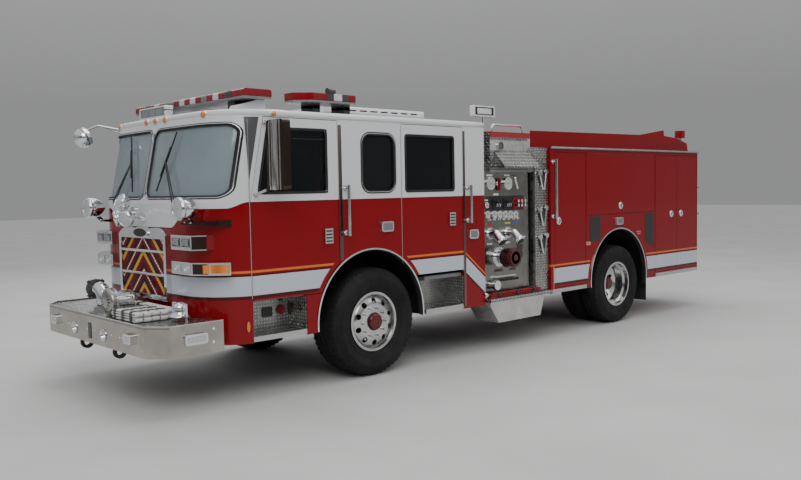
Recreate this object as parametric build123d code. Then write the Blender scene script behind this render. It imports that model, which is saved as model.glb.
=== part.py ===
"""Fire engine with a crew cab, mid-ship pump and side compartments. Millimetres: X forward, Y left, Z up."""

from build123d import *
from math import cos, radians, sin
import os

# Wheels and overall layout, X from the middle of the overall length
FRONT_AXLE_X = 2177
WHEELBASE = 4365
REAR_AXLE_X = FRONT_AXLE_X - WHEELBASE
CAB_HALF = 1221
BODY_HALF = 1250
FIT = 0.3
DOOR_GAP = 6
HINGE_R = 5

# Frame and axles
RAIL_OUT_Y = 435
RAIL_WIDTH = 90
RAIL_Z = 640
RAIL_HEIGHT = 260
RAIL_WEB = 12
RAIL_Y = (RAIL_OUT_Y - RAIL_WIDTH, RAIL_OUT_Y)
FRONT_WHEEL_Z = 547
REAR_WHEEL_Z = 528
KINGPIN_Y = 880
KINGPIN_R = 22
STEER_ARM = 150
TIE_ROD_Z = 455
SPRING_Y = 390
REAR_SPRING_Y = 500
SPRING_HALF_WIDTH = 40
SPRING_CLAMP = 46
AXLE_PAD_Z = 555

# Tyres and rims
FRONT_TYRE_R = 547
FRONT_TYRE_WIDTH = 425
FRONT_TYRE_Y = 1002
REAR_TYRE_R = 528
REAR_TYRE_WIDTH = 294
REAR_TYRE_OUTER_Y = 1078
DUAL_SPACING = 332
RIM_R = 286
RIM_THICK = 11
FLANGE = 14
TYRE_WALL = 26
HUB_BORE_R = 62
STUD_CIRCLE_R = 143
HAND_HOLE_CIRCLE_R = 212
HAND_HOLE_R = 29
STUDS = 10
HUB_CAP_R = 88

# Cab, X positions measured from the front axle
WALL = 45
NOSE_X = FRONT_AXLE_X + 1850
SEAM_FRONT = FRONT_AXLE_X + 1452
POST_B = FRONT_AXLE_X + 462
POST_C = FRONT_AXLE_X - 361
POST_D = FRONT_AXLE_X - 1278
CAB_REAR = FRONT_AXLE_X - 1631
SKIRT_Z = 536
BELT_Z = 1784
ROOF_EDGE_Z = 2579
ROOF_TOP_Z = 2700
ROOF_CROWN_R = 12000
DOOR_TOP_Z = 2530
FRONT_DOOR_Z = 912
CREW_DOOR_Z = 974
SCREEN_TOP_Z = 2472
SCREEN_LOW_Z = 1832
SCREEN_CORNER = 71
SCREEN_HALF = CAB_HALF - SCREEN_CORNER
SCREEN_POST = 22
SCREEN_RAKE = 0.206
FLOOR_Z = 900
FLOOR_THICK = 40
FRONT_ARCH_X = FRONT_AXLE_X + 57
FRONT_ARCH_Z = 595
FRONT_ARCH_R = 700
WELL_R = 735
WELL_WALL = 20
WELL_IN_Y = 470
TUNNEL_HALF = 430
TUNNEL_BACK_X = FRONT_AXLE_X - 60
TUNNEL_FRONT_X = FRONT_AXLE_X + 1500
TUNNEL_TOP_Z = 1480
GLASS = 7
STEER_WHEEL_Y = 640
STEER_WHEEL_R = 225
TREAD_PLATE = 5
STEP_REAR_X = FRONT_AXLE_X + 866
BROW_HALF = CAB_HALF - 505
GRILLE_HALF = 485
GRILLE_Z = 890
GRILLE_TOP_Z = 1530
MID_WINDOW = (FRONT_AXLE_X - 267, FRONT_AXLE_X + 160, 1854, 2419)
CREW_WINDOW = (FRONT_AXLE_X - 1134, FRONT_AXLE_X - 424, 1851, 2418)

# Pump module and body
PUMP_FRONT_X = FRONT_AXLE_X - 1698
PUMP_REAR_X = FRONT_AXLE_X - 2815
PUMP_PANEL_Y = 1150
PUMP_TOP_Z = 2490
PUMP_STEP_Z = 606
PUMP_BOARD = 40
TOOL_BOX_Z = 311
BODY_FRONT_X = FRONT_AXLE_X - 2821
SEAM_12 = FRONT_AXLE_X - 3572
SEAM_23 = FRONT_AXLE_X - 5261
BODY_REAR_X = FRONT_AXLE_X - 6499
BODY_Z = 548
BODY_TOP_Z = 2345
BODY_SKIN = 35
MODULE_IN_Y = 645
LOCKER_TOP_Z = 2290
LOCKER_LOW_Z = 610
LOCKER_STRIP = 80
HIGH_LOCKER_Z = 1485
REAR_ARCH_X = FRONT_AXLE_X - 4337
REAR_ARCH_Z = 612
REAR_ARCH_R = 685
REAR_WELL_IN_Y = 560
TAILBOARD_LENGTH = 250
TAILBOARD_Z = (BODY_Z + 12, BODY_Z + 50)
BED_FLOOR_Z = 1860
BED_BOARD_INSET = 100
BED_BOARD_Y = BODY_HALF - BED_BOARD_INSET
BED_SHEET = 20
BED_TOP_Z = 2546
PUMP_UPPER_X = FRONT_AXLE_X - 1820
PUMP_UPPER_Z = 2050
PUMP_COLUMN_X = FRONT_AXLE_X - 2560
PUMP_COLUMN_Y = 1215
PUMP_STEP_Y = 1290
HOOD_Y = 1300
HOOD_Z = (2097, 2290)
HOOD_FRONT_X = FRONT_AXLE_X - 1900
HOOD_REAR_X = FRONT_AXLE_X - 2545
DECK_RAIL_Y = 1050
DECK_RAIL_R = 14
DECK_RAIL_X = (FRONT_AXLE_X - 2520, FRONT_AXLE_X - 1975)
TAILBOARD_HALF = 1150
FOLDING_STEP_Z = (1420, 1820)
FOLDING_STEP_Y = (BODY_HALF - 280, BODY_HALF - 60)
FOLDING_STEP_OUT = 170
STEP_BACK_Y = 955
STEP_Z = 590
CONVEX_MIRROR_R = 104
BEACON_X = FRONT_AXLE_X + 2039
BEACON_Z = 1698
LIGHT_BAR_Z = 2706
LIGHT_MODULES = 10
FRONT_BAR_X = (FRONT_AXLE_X + 1092, FRONT_AXLE_X + 1390)
FRONT_BAR_HALF = 1070
DRIP_RAIL_Z = (2330, 2356)

# Latch of each locker door: X and Z
LATCHES = {
    "front": (FRONT_AXLE_X - 2985, 1441),
    "middle": (FRONT_AXLE_X - 4374, 1594),
    "rear_fore": (FRONT_AXLE_X - 5720, 1437),
    "rear_aft": (FRONT_AXLE_X - 6000, 1437),
}

# Front bumper
BUMPER_X = FRONT_AXLE_X + 2395
BUMPER_END_X = FRONT_AXLE_X + 1753
BUMPER_CHAMFER = (151, 175)
BUMPER_Z = 518
BUMPER_TOP_Z = 787
BUMPER_SHEET = 8
HORN_BACK = 60
BUMPER_LAMP_Y = CAB_HALF - 427
TOW_EYE_X = BUMPER_X - 95
TOW_EYE_Y = (RAIL_OUT_Y - RAIL_WIDTH, RAIL_OUT_Y - RAIL_WIDTH + 32)
TOW_EYE_Z = BUMPER_Z - 40
TOW_EYE_R = 32
TOW_EYE_OUT_R = 62
HORN_Z = BUMPER_Z + 104
HORN_BOX_Z = (BUMPER_Z + 20, RAIL_Z + 40)
BUMPER_LAMP_Z = 656
APRON_HALF = 700
SIREN_X = FRONT_AXLE_X + 2290
SIREN_Y = 135
SIREN_R = 125
BELL_X = FRONT_AXLE_X + 1995
BELL_Y = CAB_HALF - 306
SUCTION_X = FRONT_AXLE_X + 2110
SUCTION_Y = -380
SUCTION_R = 72
HORNS_Y = (-404, 247)
HOSE_PACK_HEIGHT = 95
HOSE_PACK_R = 35

PARTS = {}
TANKS = []


def keep(name, *shapes):
    """Stores one sub-part; several solids of it are kept as one compound."""
    solids = [s for shape in shapes for s in shape.solids()]
    PARTS[name] = solids[0] if len(solids) == 1 else Compound(children=solids)


def block(x, y, z):
    """Rectangular solid from its low and high limits on each axis."""
    centre = [(low + high) / 2 for low, high in (x, y, z)]
    sizes = [high - low for low, high in (x, y, z)]
    return Pos(*centre) * Box(*sizes)


def rounded_block(x, y, z, radius, axis=Axis.Z):
    solid = block(x, y, z)
    return fillet(solid.edges().filter_by(axis), radius)


def side_cut(sketch, y_low, y_high):
    """Extrudes a side view, drawn in X and Z, between two Y positions."""
    return extrude(Plane.XZ.offset(-y_low) * sketch, amount=y_high - y_low, dir=(0, 1, 0))


def front_cut(sketch, x_low, x_high):
    """Extrudes a front view, drawn in Y and Z, between two X positions."""
    return extrude(Plane.YZ.offset(x_low) * sketch, amount=x_high - x_low, dir=(1, 0, 0))


def plan_cut(sketch, z_low, z_high):
    """Extrudes a plan, drawn in X and Y, between two heights."""
    return extrude(Plane.XY.offset(z_low) * sketch, amount=z_high - z_low, dir=(0, 0, 1))


def outline(*points):
    return make_face(Polyline(*points, close=True).edges())


def rounded(sketch, radius):
    return fillet(sketch.vertices(), radius)


def window(x_low, x_high, z_low, z_high, radius):
    middle = Pos((x_low + x_high) / 2, (z_low + z_high) / 2)
    return middle * RectangleRounded(x_high - x_low, z_high - z_low, radius)


def rod(start, end, radius):
    """Round bar between two points."""
    start, end = Vector(*start), Vector(*end)
    along = end - start
    return extrude(Plane(origin=start, z_dir=along) * Circle(radius), amount=along.length)


def bent_tube(points, bends, radius):
    """Round bar along straight runs joined by arcs."""
    path = FilletPolyline(*points, radius=bends)
    return sweep(Plane(path @ 0, z_dir=path % 0) * Circle(radius), path=path)


def mirrored(shape):
    return mirror(shape, about=Plane.XZ)


def lean(z):
    """How far the raked nose stands behind its lower face at a height."""
    return max(0, z - BELT_Z) * SCREEN_RAKE


def nose_plan(inset, shift, back):
    """Plan of the nose with rounded corners, from the front back to a straight rear edge."""
    front = NOSE_X - shift
    side = CAB_HALF - inset
    seam = SEAM_FRONT - shift
    corner, brow = front - 135 - 0.7 * inset, front - 14 - inset
    edges = [
        ThreePointArc((seam, -side), (corner, 166 - side + 0.3 * inset), (brow, -BROW_HALF)),
        ThreePointArc((brow, -BROW_HALF), (front - inset, 0), (brow, BROW_HALF)),
        ThreePointArc((brow, BROW_HALF), (corner, side - 166 - 0.3 * inset), (seam, side)),
        Line((back, side), (back, -side)),
    ]
    if back < seam:
        edges += [Line((seam, side), (back, side)), Line((back, -side), (seam, -side))]
    return make_face(edges)


def nose_solid(inset, low, high, extra=0):
    """Nose with a vertical lower part and a raked upper part."""
    solid = None
    if low < BELT_Z:
        solid = plan_cut(nose_plan(inset, 0, SEAM_FRONT - extra), low, min(high, BELT_Z))
    if high > BELT_Z:
        start = max(low, BELT_Z)
        upper = loft(
            [
                Plane.XY.offset(start) * nose_plan(inset, lean(start), SEAM_FRONT - lean(start) - extra),
                Plane.XY.offset(high) * nose_plan(inset, lean(high), SEAM_FRONT - lean(high) - extra),
            ],
            ruled=True,
        )
        solid = upper if solid is None else solid + upper
    return solid


def frame_rails():
    """Two channel rails, their lowered front extension and the cross members."""
    front, rear = NOSE_X - 160, BODY_REAR_X + 40
    rail = block((rear, front), RAIL_Y, (RAIL_Z, RAIL_Z + RAIL_HEIGHT - FIT))
    rail -= block(
        (rear - 1, front + 1),
        (RAIL_OUT_Y - RAIL_WIDTH - 1, RAIL_OUT_Y - RAIL_WEB),
        (RAIL_Z + RAIL_WEB, RAIL_Z + RAIL_HEIGHT - RAIL_WEB),
    )
    horn = block((front - 200, BUMPER_X - HORN_BACK), RAIL_Y, HORN_BOX_Z)
    eye = side_cut(Pos(TOW_EYE_X, TOW_EYE_Z) * Circle(TOW_EYE_OUT_R), *TOW_EYE_Y)
    eye += block((TOW_EYE_X - TOW_EYE_OUT_R, TOW_EYE_X + 20), TOW_EYE_Y, (TOW_EYE_Z, RAIL_Z))
    eye -= side_cut(Pos(TOW_EYE_X, TOW_EYE_Z) * Circle(TOW_EYE_R), 0, RAIL_OUT_Y)
    left = rail + horn + eye
    frame = left + mirrored(left)
    members = (
        front - 60,
        FRONT_AXLE_X - 900,
        PUMP_FRONT_X - 80,
        PUMP_REAR_X + 160,
        REAR_AXLE_X + 900,
        REAR_AXLE_X - 640,
        rear + 60,
    )
    for x in members:
        frame += block((x - 40, x + 40), (10 - RAIL_OUT_Y, RAIL_OUT_Y - 10), (RAIL_Z + 200, RAIL_Z + 248))
    keep("frame_rails", frame)


def leaf_spring(axle_x, y, pad_z, length, leaves, rise):
    """Stack of leaves on an axle pad, each shorter than the one above; gives its eye positions too."""
    half, thick = length / 2, 12
    pack = None
    for i in range(leaves):
        reach = half * (1 - 0.13 * i)
        top = pad_z + thick * (leaves - i)
        bow = rise * (reach / half) ** 2
        low = top - thick
        upper = ThreePointArc((axle_x - reach, top + bow), (axle_x, top), (axle_x + reach, top + bow))
        lower = ThreePointArc((axle_x + reach, low + bow), (axle_x, low), (axle_x - reach, low + bow))
        leaf = make_face([upper, Line(upper @ 1, lower @ 0), lower, Line(lower @ 1, upper @ 0)])
        solid = side_cut(leaf, y - SPRING_HALF_WIDTH, y + SPRING_HALF_WIDTH)
        pack = solid if pack is None else pack + solid
    eyes = [(axle_x + side * (half - 20), pad_z + thick * leaves + rise - thick / 2) for side in (-1, 1)]
    return pack, eyes


def front_axle():
    """Drop-centre beam with its kingpins and springs."""
    end_z = FRONT_WHEEL_Z
    beam_side = outline(
        (-KINGPIN_Y, end_z - 45), (-KINGPIN_Y, end_z + 45), (-700, end_z + 45), (-560, AXLE_PAD_Z - 45),
        (560, AXLE_PAD_Z - 45), (700, end_z + 45), (KINGPIN_Y, end_z + 45), (KINGPIN_Y, end_z - 45),
        (680, end_z - 45), (520, AXLE_PAD_Z - 140), (-520, AXLE_PAD_Z - 140), (-680, end_z - 45),
    )
    beam = front_cut(beam_side, FRONT_AXLE_X - 50, FRONT_AXLE_X + 50)
    flute_low, flute_high = AXLE_PAD_Z - 115, AXLE_PAD_Z - 70
    flute = outline((-500, flute_low), (-500, flute_high), (500, flute_high), (500, flute_low))
    for x in (FRONT_AXLE_X - 51, FRONT_AXLE_X + 20):
        beam -= front_cut(flute, x, x + 31)
    spring, eyes = leaf_spring(FRONT_AXLE_X, SPRING_Y, AXLE_PAD_Z, 1330, 3, 45)
    clamp_y = (SPRING_Y - SPRING_CLAMP, SPRING_Y + SPRING_CLAMP)
    left = spring + block((FRONT_AXLE_X - 70, FRONT_AXLE_X + 70), clamp_y, (AXLE_PAD_Z - 60, AXLE_PAD_Z + 8))
    for x, z in eyes:
        left += block((x - 22, x + 22), (SPRING_Y - 44, SPRING_Y + 44), (z - 24, RAIL_Z - FIT))
    for side in (1, -1):
        boss = Pos(FRONT_AXLE_X, side * KINGPIN_Y, end_z) * Cylinder(55, 90)
        pin = Pos(FRONT_AXLE_X, side * KINGPIN_Y, end_z) * Cylinder(KINGPIN_R, 230)
        beam += boss + pin
    keep("front_axle", beam + left + mirrored(left))


def knuckle(side):
    """Steering knuckle: a yoke round the kingpin, spindle, brake plate and steering arm."""
    x, y, z = FRONT_AXLE_X, KINGPIN_Y, FRONT_WHEEL_Z
    yoke = None
    for z_low, z_high in ((z - 115, z - 45 - FIT), (z + 45 + FIT, z + 115)):
        ear = Pos(x, y, (z_low + z_high) / 2) * Cylinder(50, z_high - z_low)
        ear += block((x - 45, x + 45), (y, y + 80), (z_low, z_high))
        yoke = ear if yoke is None else yoke + ear
    yoke += block((x - 45, x + 45), (y + 60, y + 90), (z - 115, z + 115))
    spindle = rod((x, y + 80, z), (x, FRONT_TYRE_Y + 150, z), HUB_BORE_R - FIT)
    arm = block((x - STEER_ARM, x), (y - 24, y + 24), (TIE_ROD_Z + 21, TIE_ROD_Z + 43))
    arm += Pos(x - STEER_ARM, y, TIE_ROD_Z + 32) * Cylinder(26, 22)
    arm += Pos(x - STEER_ARM, y, TIE_ROD_Z + 10) * Cylinder(11, 60)
    solid = yoke + spindle + arm
    solid -= Pos(x, y, z) * Cylinder(KINGPIN_R + FIT, 300)
    return solid if side > 0 else mirrored(solid)


def tie_rod():
    """Track rod across the two steering arms, its right eye opened a little wider."""
    x, z = FRONT_AXLE_X - STEER_ARM, TIE_ROD_Z
    bar = rod((x, -KINGPIN_Y + 30, z), (x, KINGPIN_Y - 30, z), 18)
    for side in (1, -1):
        bar += Pos(x, side * KINGPIN_Y, z) * Cylinder(32, 40)
    for side, bore in ((1, 11 + FIT), (-1, 13)):
        bar -= Pos(x, side * KINGPIN_Y, z) * Cylinder(bore, 60)
    keep("tie_rod", bar)


def tyre(radius, width):
    """Hollow tyre section with bulged side walls, beads and a slightly crowned tread."""
    half, tread, bead = width / 2, width * 0.40, width * 0.36
    mid, flange = (radius + RIM_R) / 2, RIM_R + FLANGE + FIT
    outer = make_face(
        [
            Line((RIM_R + FIT, bead), (RIM_R + FIT, -bead)),
            Line((RIM_R + FIT, -bead), (flange, -bead)),
            ThreePointArc((flange, -bead), (mid, -half), (radius - 26, -tread)),
            ThreePointArc((radius - 26, -tread), (radius - 8, -tread + 8), (radius - 5, -tread + 26)),
            ThreePointArc((radius - 5, -tread + 26), (radius, 0), (radius - 5, tread - 26)),
            ThreePointArc((radius - 5, tread - 26), (radius - 8, tread - 8), (radius - 26, tread)),
            ThreePointArc((radius - 26, tread), (mid, half), (flange, bead)),
            Line((flange, bead), (RIM_R + FIT, bead)),
        ]
    )
    core, room = bead - TYRE_WALL, half - TYRE_WALL
    inner = make_face(
        [
            Line((RIM_R - 5, core), (RIM_R - 5, -core)),
            Line((RIM_R - 5, -core), (RIM_R + 22, -core)),
            ThreePointArc((RIM_R + 22, -core), (mid, -room), (radius - 48, -tread + 20)),
            Line((radius - 48, -tread + 20), (radius - 48, tread - 20)),
            ThreePointArc((radius - 48, tread - 20), (mid, room), (RIM_R + 22, core)),
            Line((RIM_R + 22, core), (RIM_R - 5, core)),
        ]
    )
    return revolve(outer - inner, Axis.Y)


def barrel(width):
    """Rim barrel with a flange at each bead and a dropped well."""
    half = width * 0.36
    flange = RIM_R + FLANGE
    profile = outline(
        (RIM_R, -half), (RIM_R, half), (RIM_R, half + 3), (flange, half + 3), (flange, half + 12),
        (RIM_R - RIM_THICK, half + 12), (RIM_R - RIM_THICK, half - 40), (RIM_R - 34, half - 60),
        (RIM_R - 34, 60 - half), (RIM_R - RIM_THICK, 40 - half), (RIM_R - RIM_THICK, -half - 12),
        (flange, -half - 12), (flange, -half - 3), (RIM_R, -half - 3),
    )
    return revolve(profile, Axis.Y)


def wheel_disc(face, rise, thick, inner):
    """Wheel disc from the hub face at one Y out to the barrel, with its round hand holes."""
    reach = RIM_R - 8
    lip = face - rise
    middle = (face + lip) / 2
    profile = make_face(
        [
            Line((inner, face), (inner, face - thick)),
            Line((inner, face - thick), (168, face - thick)),
            ThreePointArc((168, face - thick), (reach - 34, middle - thick + 4), (reach, lip - thick)),
            Line((reach, lip - thick), (reach, lip)),
            ThreePointArc((reach, lip), (reach - 30, middle + 8), (172, face)),
            Line((172, face), (inner, face)),
        ]
    )
    disc = revolve(profile, Axis.Y)
    for i in range(STUDS):
        turn = radians(360 / STUDS * (i + 0.5))
        x, z = HAND_HOLE_CIRCLE_R * cos(turn), HAND_HOLE_CIRCLE_R * sin(turn)
        disc -= rod((x, face - rise - 80, z), (x, face + 40, z), HAND_HOLE_R)
    return disc


def lug_nuts(face):
    nuts = []
    for i in range(STUDS):
        turn = radians(360 / STUDS * i)
        x, z = STUD_CIRCLE_R * cos(turn), STUD_CIRCLE_R * sin(turn)
        nuts.append(rod((x, face - 1, z), (x, face + 34, z), 17))
    return nuts


def front_rim():
    """Polished steer wheel: barrel, bulged disc, hub with its cover, and brake drum."""
    face = 168
    solid = barrel(FRONT_TYRE_WIDTH) + wheel_disc(face, 70, 16, HUB_BORE_R)
    drum = revolve(
        outline((205, -60), (205, 90), (HUB_BORE_R, 90), (HUB_BORE_R, 70), (188, 70), (188, -60)), Axis.Y
    )
    hub = revolve(outline((HUB_BORE_R, -20), (HUB_BORE_R, face), (120, face), (120, 40), (100, -20)), Axis.Y)
    cap = revolve(
        make_face(
            [
                Line((0, face + 2), (0, face + 38)),
                Line((0, face + 38), (58, face + 38)),
                ThreePointArc((58, face + 38), (78, face + 28), (HUB_CAP_R, face)),
                Line((HUB_CAP_R, face), (HUB_BORE_R - 4, face)),
                Line((HUB_BORE_R - 4, face), (HUB_BORE_R - 4, face + 2)),
                Line((HUB_BORE_R - 4, face + 2), (0, face + 2)),
            ]
        ),
        Axis.Y,
    )
    solid = solid + hub + drum + cap
    for nut in lug_nuts(face):
        solid += nut
    return solid


def rear_rim():
    """Dual rear wheel: two barrels back to back on one hub, the outer disc dished."""
    seat = REAR_TYRE_OUTER_Y - DUAL_SPACING / 2
    local_outer = DUAL_SPACING / 2
    ring = barrel(REAR_TYRE_WIDTH)
    solid = Pos(0, local_outer, 0) * ring + Pos(0, -local_outer, 0) * ring
    outer_disc = Pos(0, 14, 0) * wheel_disc(0, -70, 14, HUB_BORE_R)
    solid += outer_disc + mirror(outer_disc, about=Plane.XZ)
    hub = revolve(outline((HUB_BORE_R, -120), (HUB_BORE_R, 130), (88, 130), (118, 10), (118, -120)), Axis.Y)
    shoulder = HUB_BORE_R - 4
    cap = revolve(
        outline((0, 132), (0, 176), (60, 176), (84, 150), (88, 130), (shoulder, 130), (shoulder, 132)),
        Axis.Y,
    )
    drum = revolve(outline((200, -250), (200, -60), (100, -60), (100, -76), (184, -76), (184, -250)), Axis.Y)
    solid = solid + hub + cap + drum
    for nut in lug_nuts(14):
        solid += nut
    return solid, seat


def wheels():
    """Four wheels, each a tyre node and a rim node."""
    steer_tyre, steer_rim = tyre(FRONT_TYRE_R, FRONT_TYRE_WIDTH), front_rim()
    place = Pos(FRONT_AXLE_X, FRONT_TYRE_Y, FRONT_WHEEL_Z)
    dual, seat = rear_rim()
    drive_tyre = tyre(REAR_TYRE_R, REAR_TYRE_WIDTH)
    outer = Pos(REAR_AXLE_X, seat + DUAL_SPACING / 2, REAR_WHEEL_Z) * drive_tyre
    inner = Pos(REAR_AXLE_X, seat - DUAL_SPACING / 2, REAR_WHEEL_Z) * drive_tyre
    left = {
        "tyre_front": [place * steer_tyre],
        "rim_front": [place * steer_rim],
        "tyre_rear": [outer, inner],
        "rim_rear": [Pos(REAR_AXLE_X, seat, REAR_WHEEL_Z) * dual],
    }
    for name, solids in left.items():
        keep(name + "_left", *solids)
        keep(name + "_right", *[mirrored(s) for s in solids])
    return seat


def rear_axle(seat):
    """Banjo housing with spindles, and the rear springs."""
    z = REAR_WHEEL_Z
    tube = rod((REAR_AXLE_X, -640, z), (REAR_AXLE_X, 640, z), 78)
    tube += Pos(REAR_AXLE_X, 0, z) * Sphere(190)
    tube += rod((REAR_AXLE_X, 60, z), (REAR_AXLE_X + 330, 60, z), 95)
    tube += rod((REAR_AXLE_X, -seat - 120, z), (REAR_AXLE_X, seat + 120, z), HUB_BORE_R - FIT)
    spring, eyes = leaf_spring(REAR_AXLE_X, REAR_SPRING_Y, z + 85, 1240, 3, 60)
    clamp_y = (REAR_SPRING_Y - SPRING_CLAMP, REAR_SPRING_Y + SPRING_CLAMP)
    left = spring + block((REAR_AXLE_X - 80, REAR_AXLE_X + 80), clamp_y, (z + 20, z + 93))
    for x, eye_z in eyes:
        left += block((x - 24, x + 24), (RAIL_OUT_Y + FIT, REAR_SPRING_Y + 46), (eye_z - 30, eye_z + 30))
    keep("rear_axle", tube + left + mirrored(left))


def powertrain():
    """Engine block, gearbox, pump gearbox, shafts, tanks and exhaust under the floor."""
    engine = rounded_block(
        (TUNNEL_BACK_X + 120, TUNNEL_FRONT_X - 90), (-320, 320), (RAIL_Z - 80, TUNNEL_TOP_Z - 110), 40, Axis.X
    )
    gearbox = rod((TUNNEL_BACK_X - 560, 0, 700), (TUNNEL_BACK_X + 130, 0, 700), 190)
    split = block((PUMP_REAR_X + 300, PUMP_FRONT_X - 200), (-230, 230), (560, RAIL_Z + RAIL_HEIGHT - 5))
    shaft = rod((PUMP_FRONT_X - 210, 0, 700), (TUNNEL_BACK_X - 550, 0, 700), 55)
    axle_nose = REAR_AXLE_X + 330 + FIT
    rear_shaft = rod((axle_nose, 60, REAR_WHEEL_Z), (axle_nose + 40, 60, REAR_WHEEL_Z), 62)
    rear_shaft += rod((axle_nose + 20, 60, REAR_WHEEL_Z), (PUMP_REAR_X + 310, 60, 690), 48)
    inner = RAIL_OUT_Y - RAIL_WIDTH - FIT
    mounts = block((TUNNEL_FRONT_X - 300, TUNNEL_FRONT_X - 200), (-inner, inner), (RAIL_Z + 20, RAIL_Z + 90))
    mounts += block((PUMP_REAR_X + 340, PUMP_REAR_X + 400), (-inner, inner), (RAIL_Z + 20, RAIL_Z + 90))
    keep("powertrain", engine + gearbox + shaft + split + rear_shaft + mounts)
    tank_x = (BODY_REAR_X + 180, BODY_REAR_X + 1000)
    tank = rounded_block(tank_x, (-inner, inner), (RAIL_Z - 120, RAIL_Z + 255), 50, Axis.X)
    air_y, muffler_y = RAIL_OUT_Y + 160, RAIL_OUT_Y + 180
    hanger_x, hanger_z = (CAB_REAR - 200, CAB_REAR - 150), (RAIL_Z + 20, RAIL_Z + 120)
    air = rod((CAB_REAR - 640, air_y, 700), (CAB_REAR + 260, air_y, 700), 110)
    air += block(hanger_x, (RAIL_OUT_Y + FIT, air_y), hanger_z)
    muffler = rod((CAB_REAR - 600, -muffler_y, 700), (CAB_REAR + 240, -muffler_y, 700), 130)
    muffler += block(hanger_x, (-muffler_y, -RAIL_OUT_Y - FIT), hanger_z)
    muffler += rod((CAB_REAR + 160, -muffler_y - 60, 640), (CAB_REAR + 160, 80 - CAB_HALF, 470), 45)
    TANKS.extend([tank, air, muffler])


def bumper():
    """Wrapped bumper with its deck, tray and skirt plate."""
    cx, cy = BUMPER_CHAMFER
    rim = [
        (BUMPER_END_X, -CAB_HALF), (BUMPER_X - cx, -CAB_HALF), (BUMPER_X, cy - CAB_HALF),
        (BUMPER_X, CAB_HALF - cy), (BUMPER_X - cx, CAB_HALF), (BUMPER_END_X, CAB_HALF),
    ]
    t = BUMPER_SHEET
    bend_x, bend_y = BUMPER_X - cx - t / 2, CAB_HALF - cy - t / 2
    inner = [
        (BUMPER_END_X - 1, t - CAB_HALF), (bend_x, t - CAB_HALF), (BUMPER_X - t, -bend_y),
        (BUMPER_X - t, bend_y), (bend_x, CAB_HALF - t), (BUMPER_END_X - 1, CAB_HALF - t),
    ]
    shell = plan_cut(outline(*rim) - outline(*inner), BUMPER_Z, BUMPER_TOP_Z)
    deck = plan_cut(outline(*inner), BUMPER_TOP_Z - 20, BUMPER_TOP_Z - 14)
    nose = plan_cut(nose_plan(-5, 0, SEAM_FRONT), BUMPER_Z - 200, BUMPER_TOP_Z + 50)
    solid = shell + deck - nose
    wide = (-APRON_HALF, APRON_HALF)
    apron = block((BUMPER_X - 330, BUMPER_X - 324), wide, (BUMPER_Z - 78, BUMPER_Z + 60))
    solid += apron + block((BUMPER_X - 330, BUMPER_X - 40), wide, (BUMPER_Z, BUMPER_Z + 5))
    slot_x = (TOW_EYE_X - TOW_EYE_OUT_R - 4, TOW_EYE_X + TOW_EYE_OUT_R + 4)
    slot = block(slot_x, (TOW_EYE_Y[0] - FIT, TOW_EYE_Y[1] + FIT), (BUMPER_Z - 1, BUMPER_Z + 40))
    solid = solid - slot - mirrored(slot)
    for y in HORNS_Y:
        solid -= rod((BUMPER_X - 20, y, HORN_Z), (BUMPER_X + 5, y, HORN_Z), 50)
    horn = block(
        (NOSE_X - 360, BUMPER_X - HORN_BACK + FIT),
        (RAIL_Y[0] - FIT, RAIL_Y[1] + FIT),
        (HORN_BOX_Z[0] - FIT, HORN_BOX_Z[1] + FIT),
    )
    gusset = block((BUMPER_X - 290, BUMPER_X - 90), RAIL_Y, (HORN_BOX_Z[1] + FIT, BUMPER_TOP_Z - 18))
    solid = solid - horn - mirrored(horn) + gusset + mirrored(gusset)
    keep("front_bumper", *solid.solids())


def cab_nose():
    """Wrapped nose panel with the screen frame, corner posts and grille opening."""
    shell = nose_solid(0, SKIRT_Z, ROOF_EDGE_Z) - nose_solid(WALL, SKIRT_Z - 1, ROOF_EDGE_Z + 1, extra=60)
    for low, high in ((SCREEN_POST, SCREEN_HALF), (-SCREEN_HALF, -SCREEN_POST)):
        shell -= front_cut(window(low, high, SCREEN_LOW_Z, SCREEN_TOP_Z, 90), SEAM_FRONT - 60, NOSE_X + 60)
    air_way = window(30 - GRILLE_HALF, GRILLE_HALF - 30, GRILLE_Z + 30, GRILLE_TOP_Z - 60, 20)
    shell -= front_cut(air_way, NOSE_X - 120, NOSE_X + 60)
    notch = block((SEAM_FRONT, NOSE_X + 60), (RAIL_Y[0] - 4, RAIL_Y[1] + 4), (SKIRT_Z - 1, HORN_BOX_Z[1] + 4))
    shell = shell - notch - mirrored(notch)
    keep("cab_nose", shell)


def screen_glass():
    """Two bent windscreen panes and the fixed side panes."""
    shell = nose_solid(14, SCREEN_LOW_Z - 20, SCREEN_TOP_Z + 20) - nose_solid(
        14 + GLASS, SCREEN_LOW_Z - 30, SCREEN_TOP_Z + 30, extra=60
    )
    panes = []
    for low, high in ((SCREEN_POST, SCREEN_HALF), (-SCREEN_HALF, -SCREEN_POST)):
        hole = window(low + FIT, high - FIT, SCREEN_LOW_Z + FIT, SCREEN_TOP_Z - FIT, 90)
        panes += (shell & front_cut(hole, SEAM_FRONT + 10, NOSE_X + 60)).solids()
    rim = side_cut(window(*inset_window(MID_WINDOW, FIT), 95), CAB_HALF - 26, CAB_HALF - 26 + GLASS)
    keep("cab_glass", *panes, rim, mirrored(rim))


def inset_window(limits, gap):
    x_low, x_high, z_low, z_high = limits
    return x_low + gap, x_high - gap, z_low + gap, z_high - gap


def front_door_window(gap):
    """Door window with its raked front edge."""
    low, high = 1860 + gap, 2434 - gap
    back = FRONT_AXLE_X + 601 + gap
    foot, head = FRONT_AXLE_X + 1362 - gap, FRONT_AXLE_X + 1254 - gap
    return rounded(outline((back, low), (foot, low), (head, high), (back, high)), 35)


def arch(centre_x, centre_z, radius):
    return Pos(centre_x, centre_z) * Circle(radius)


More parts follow.
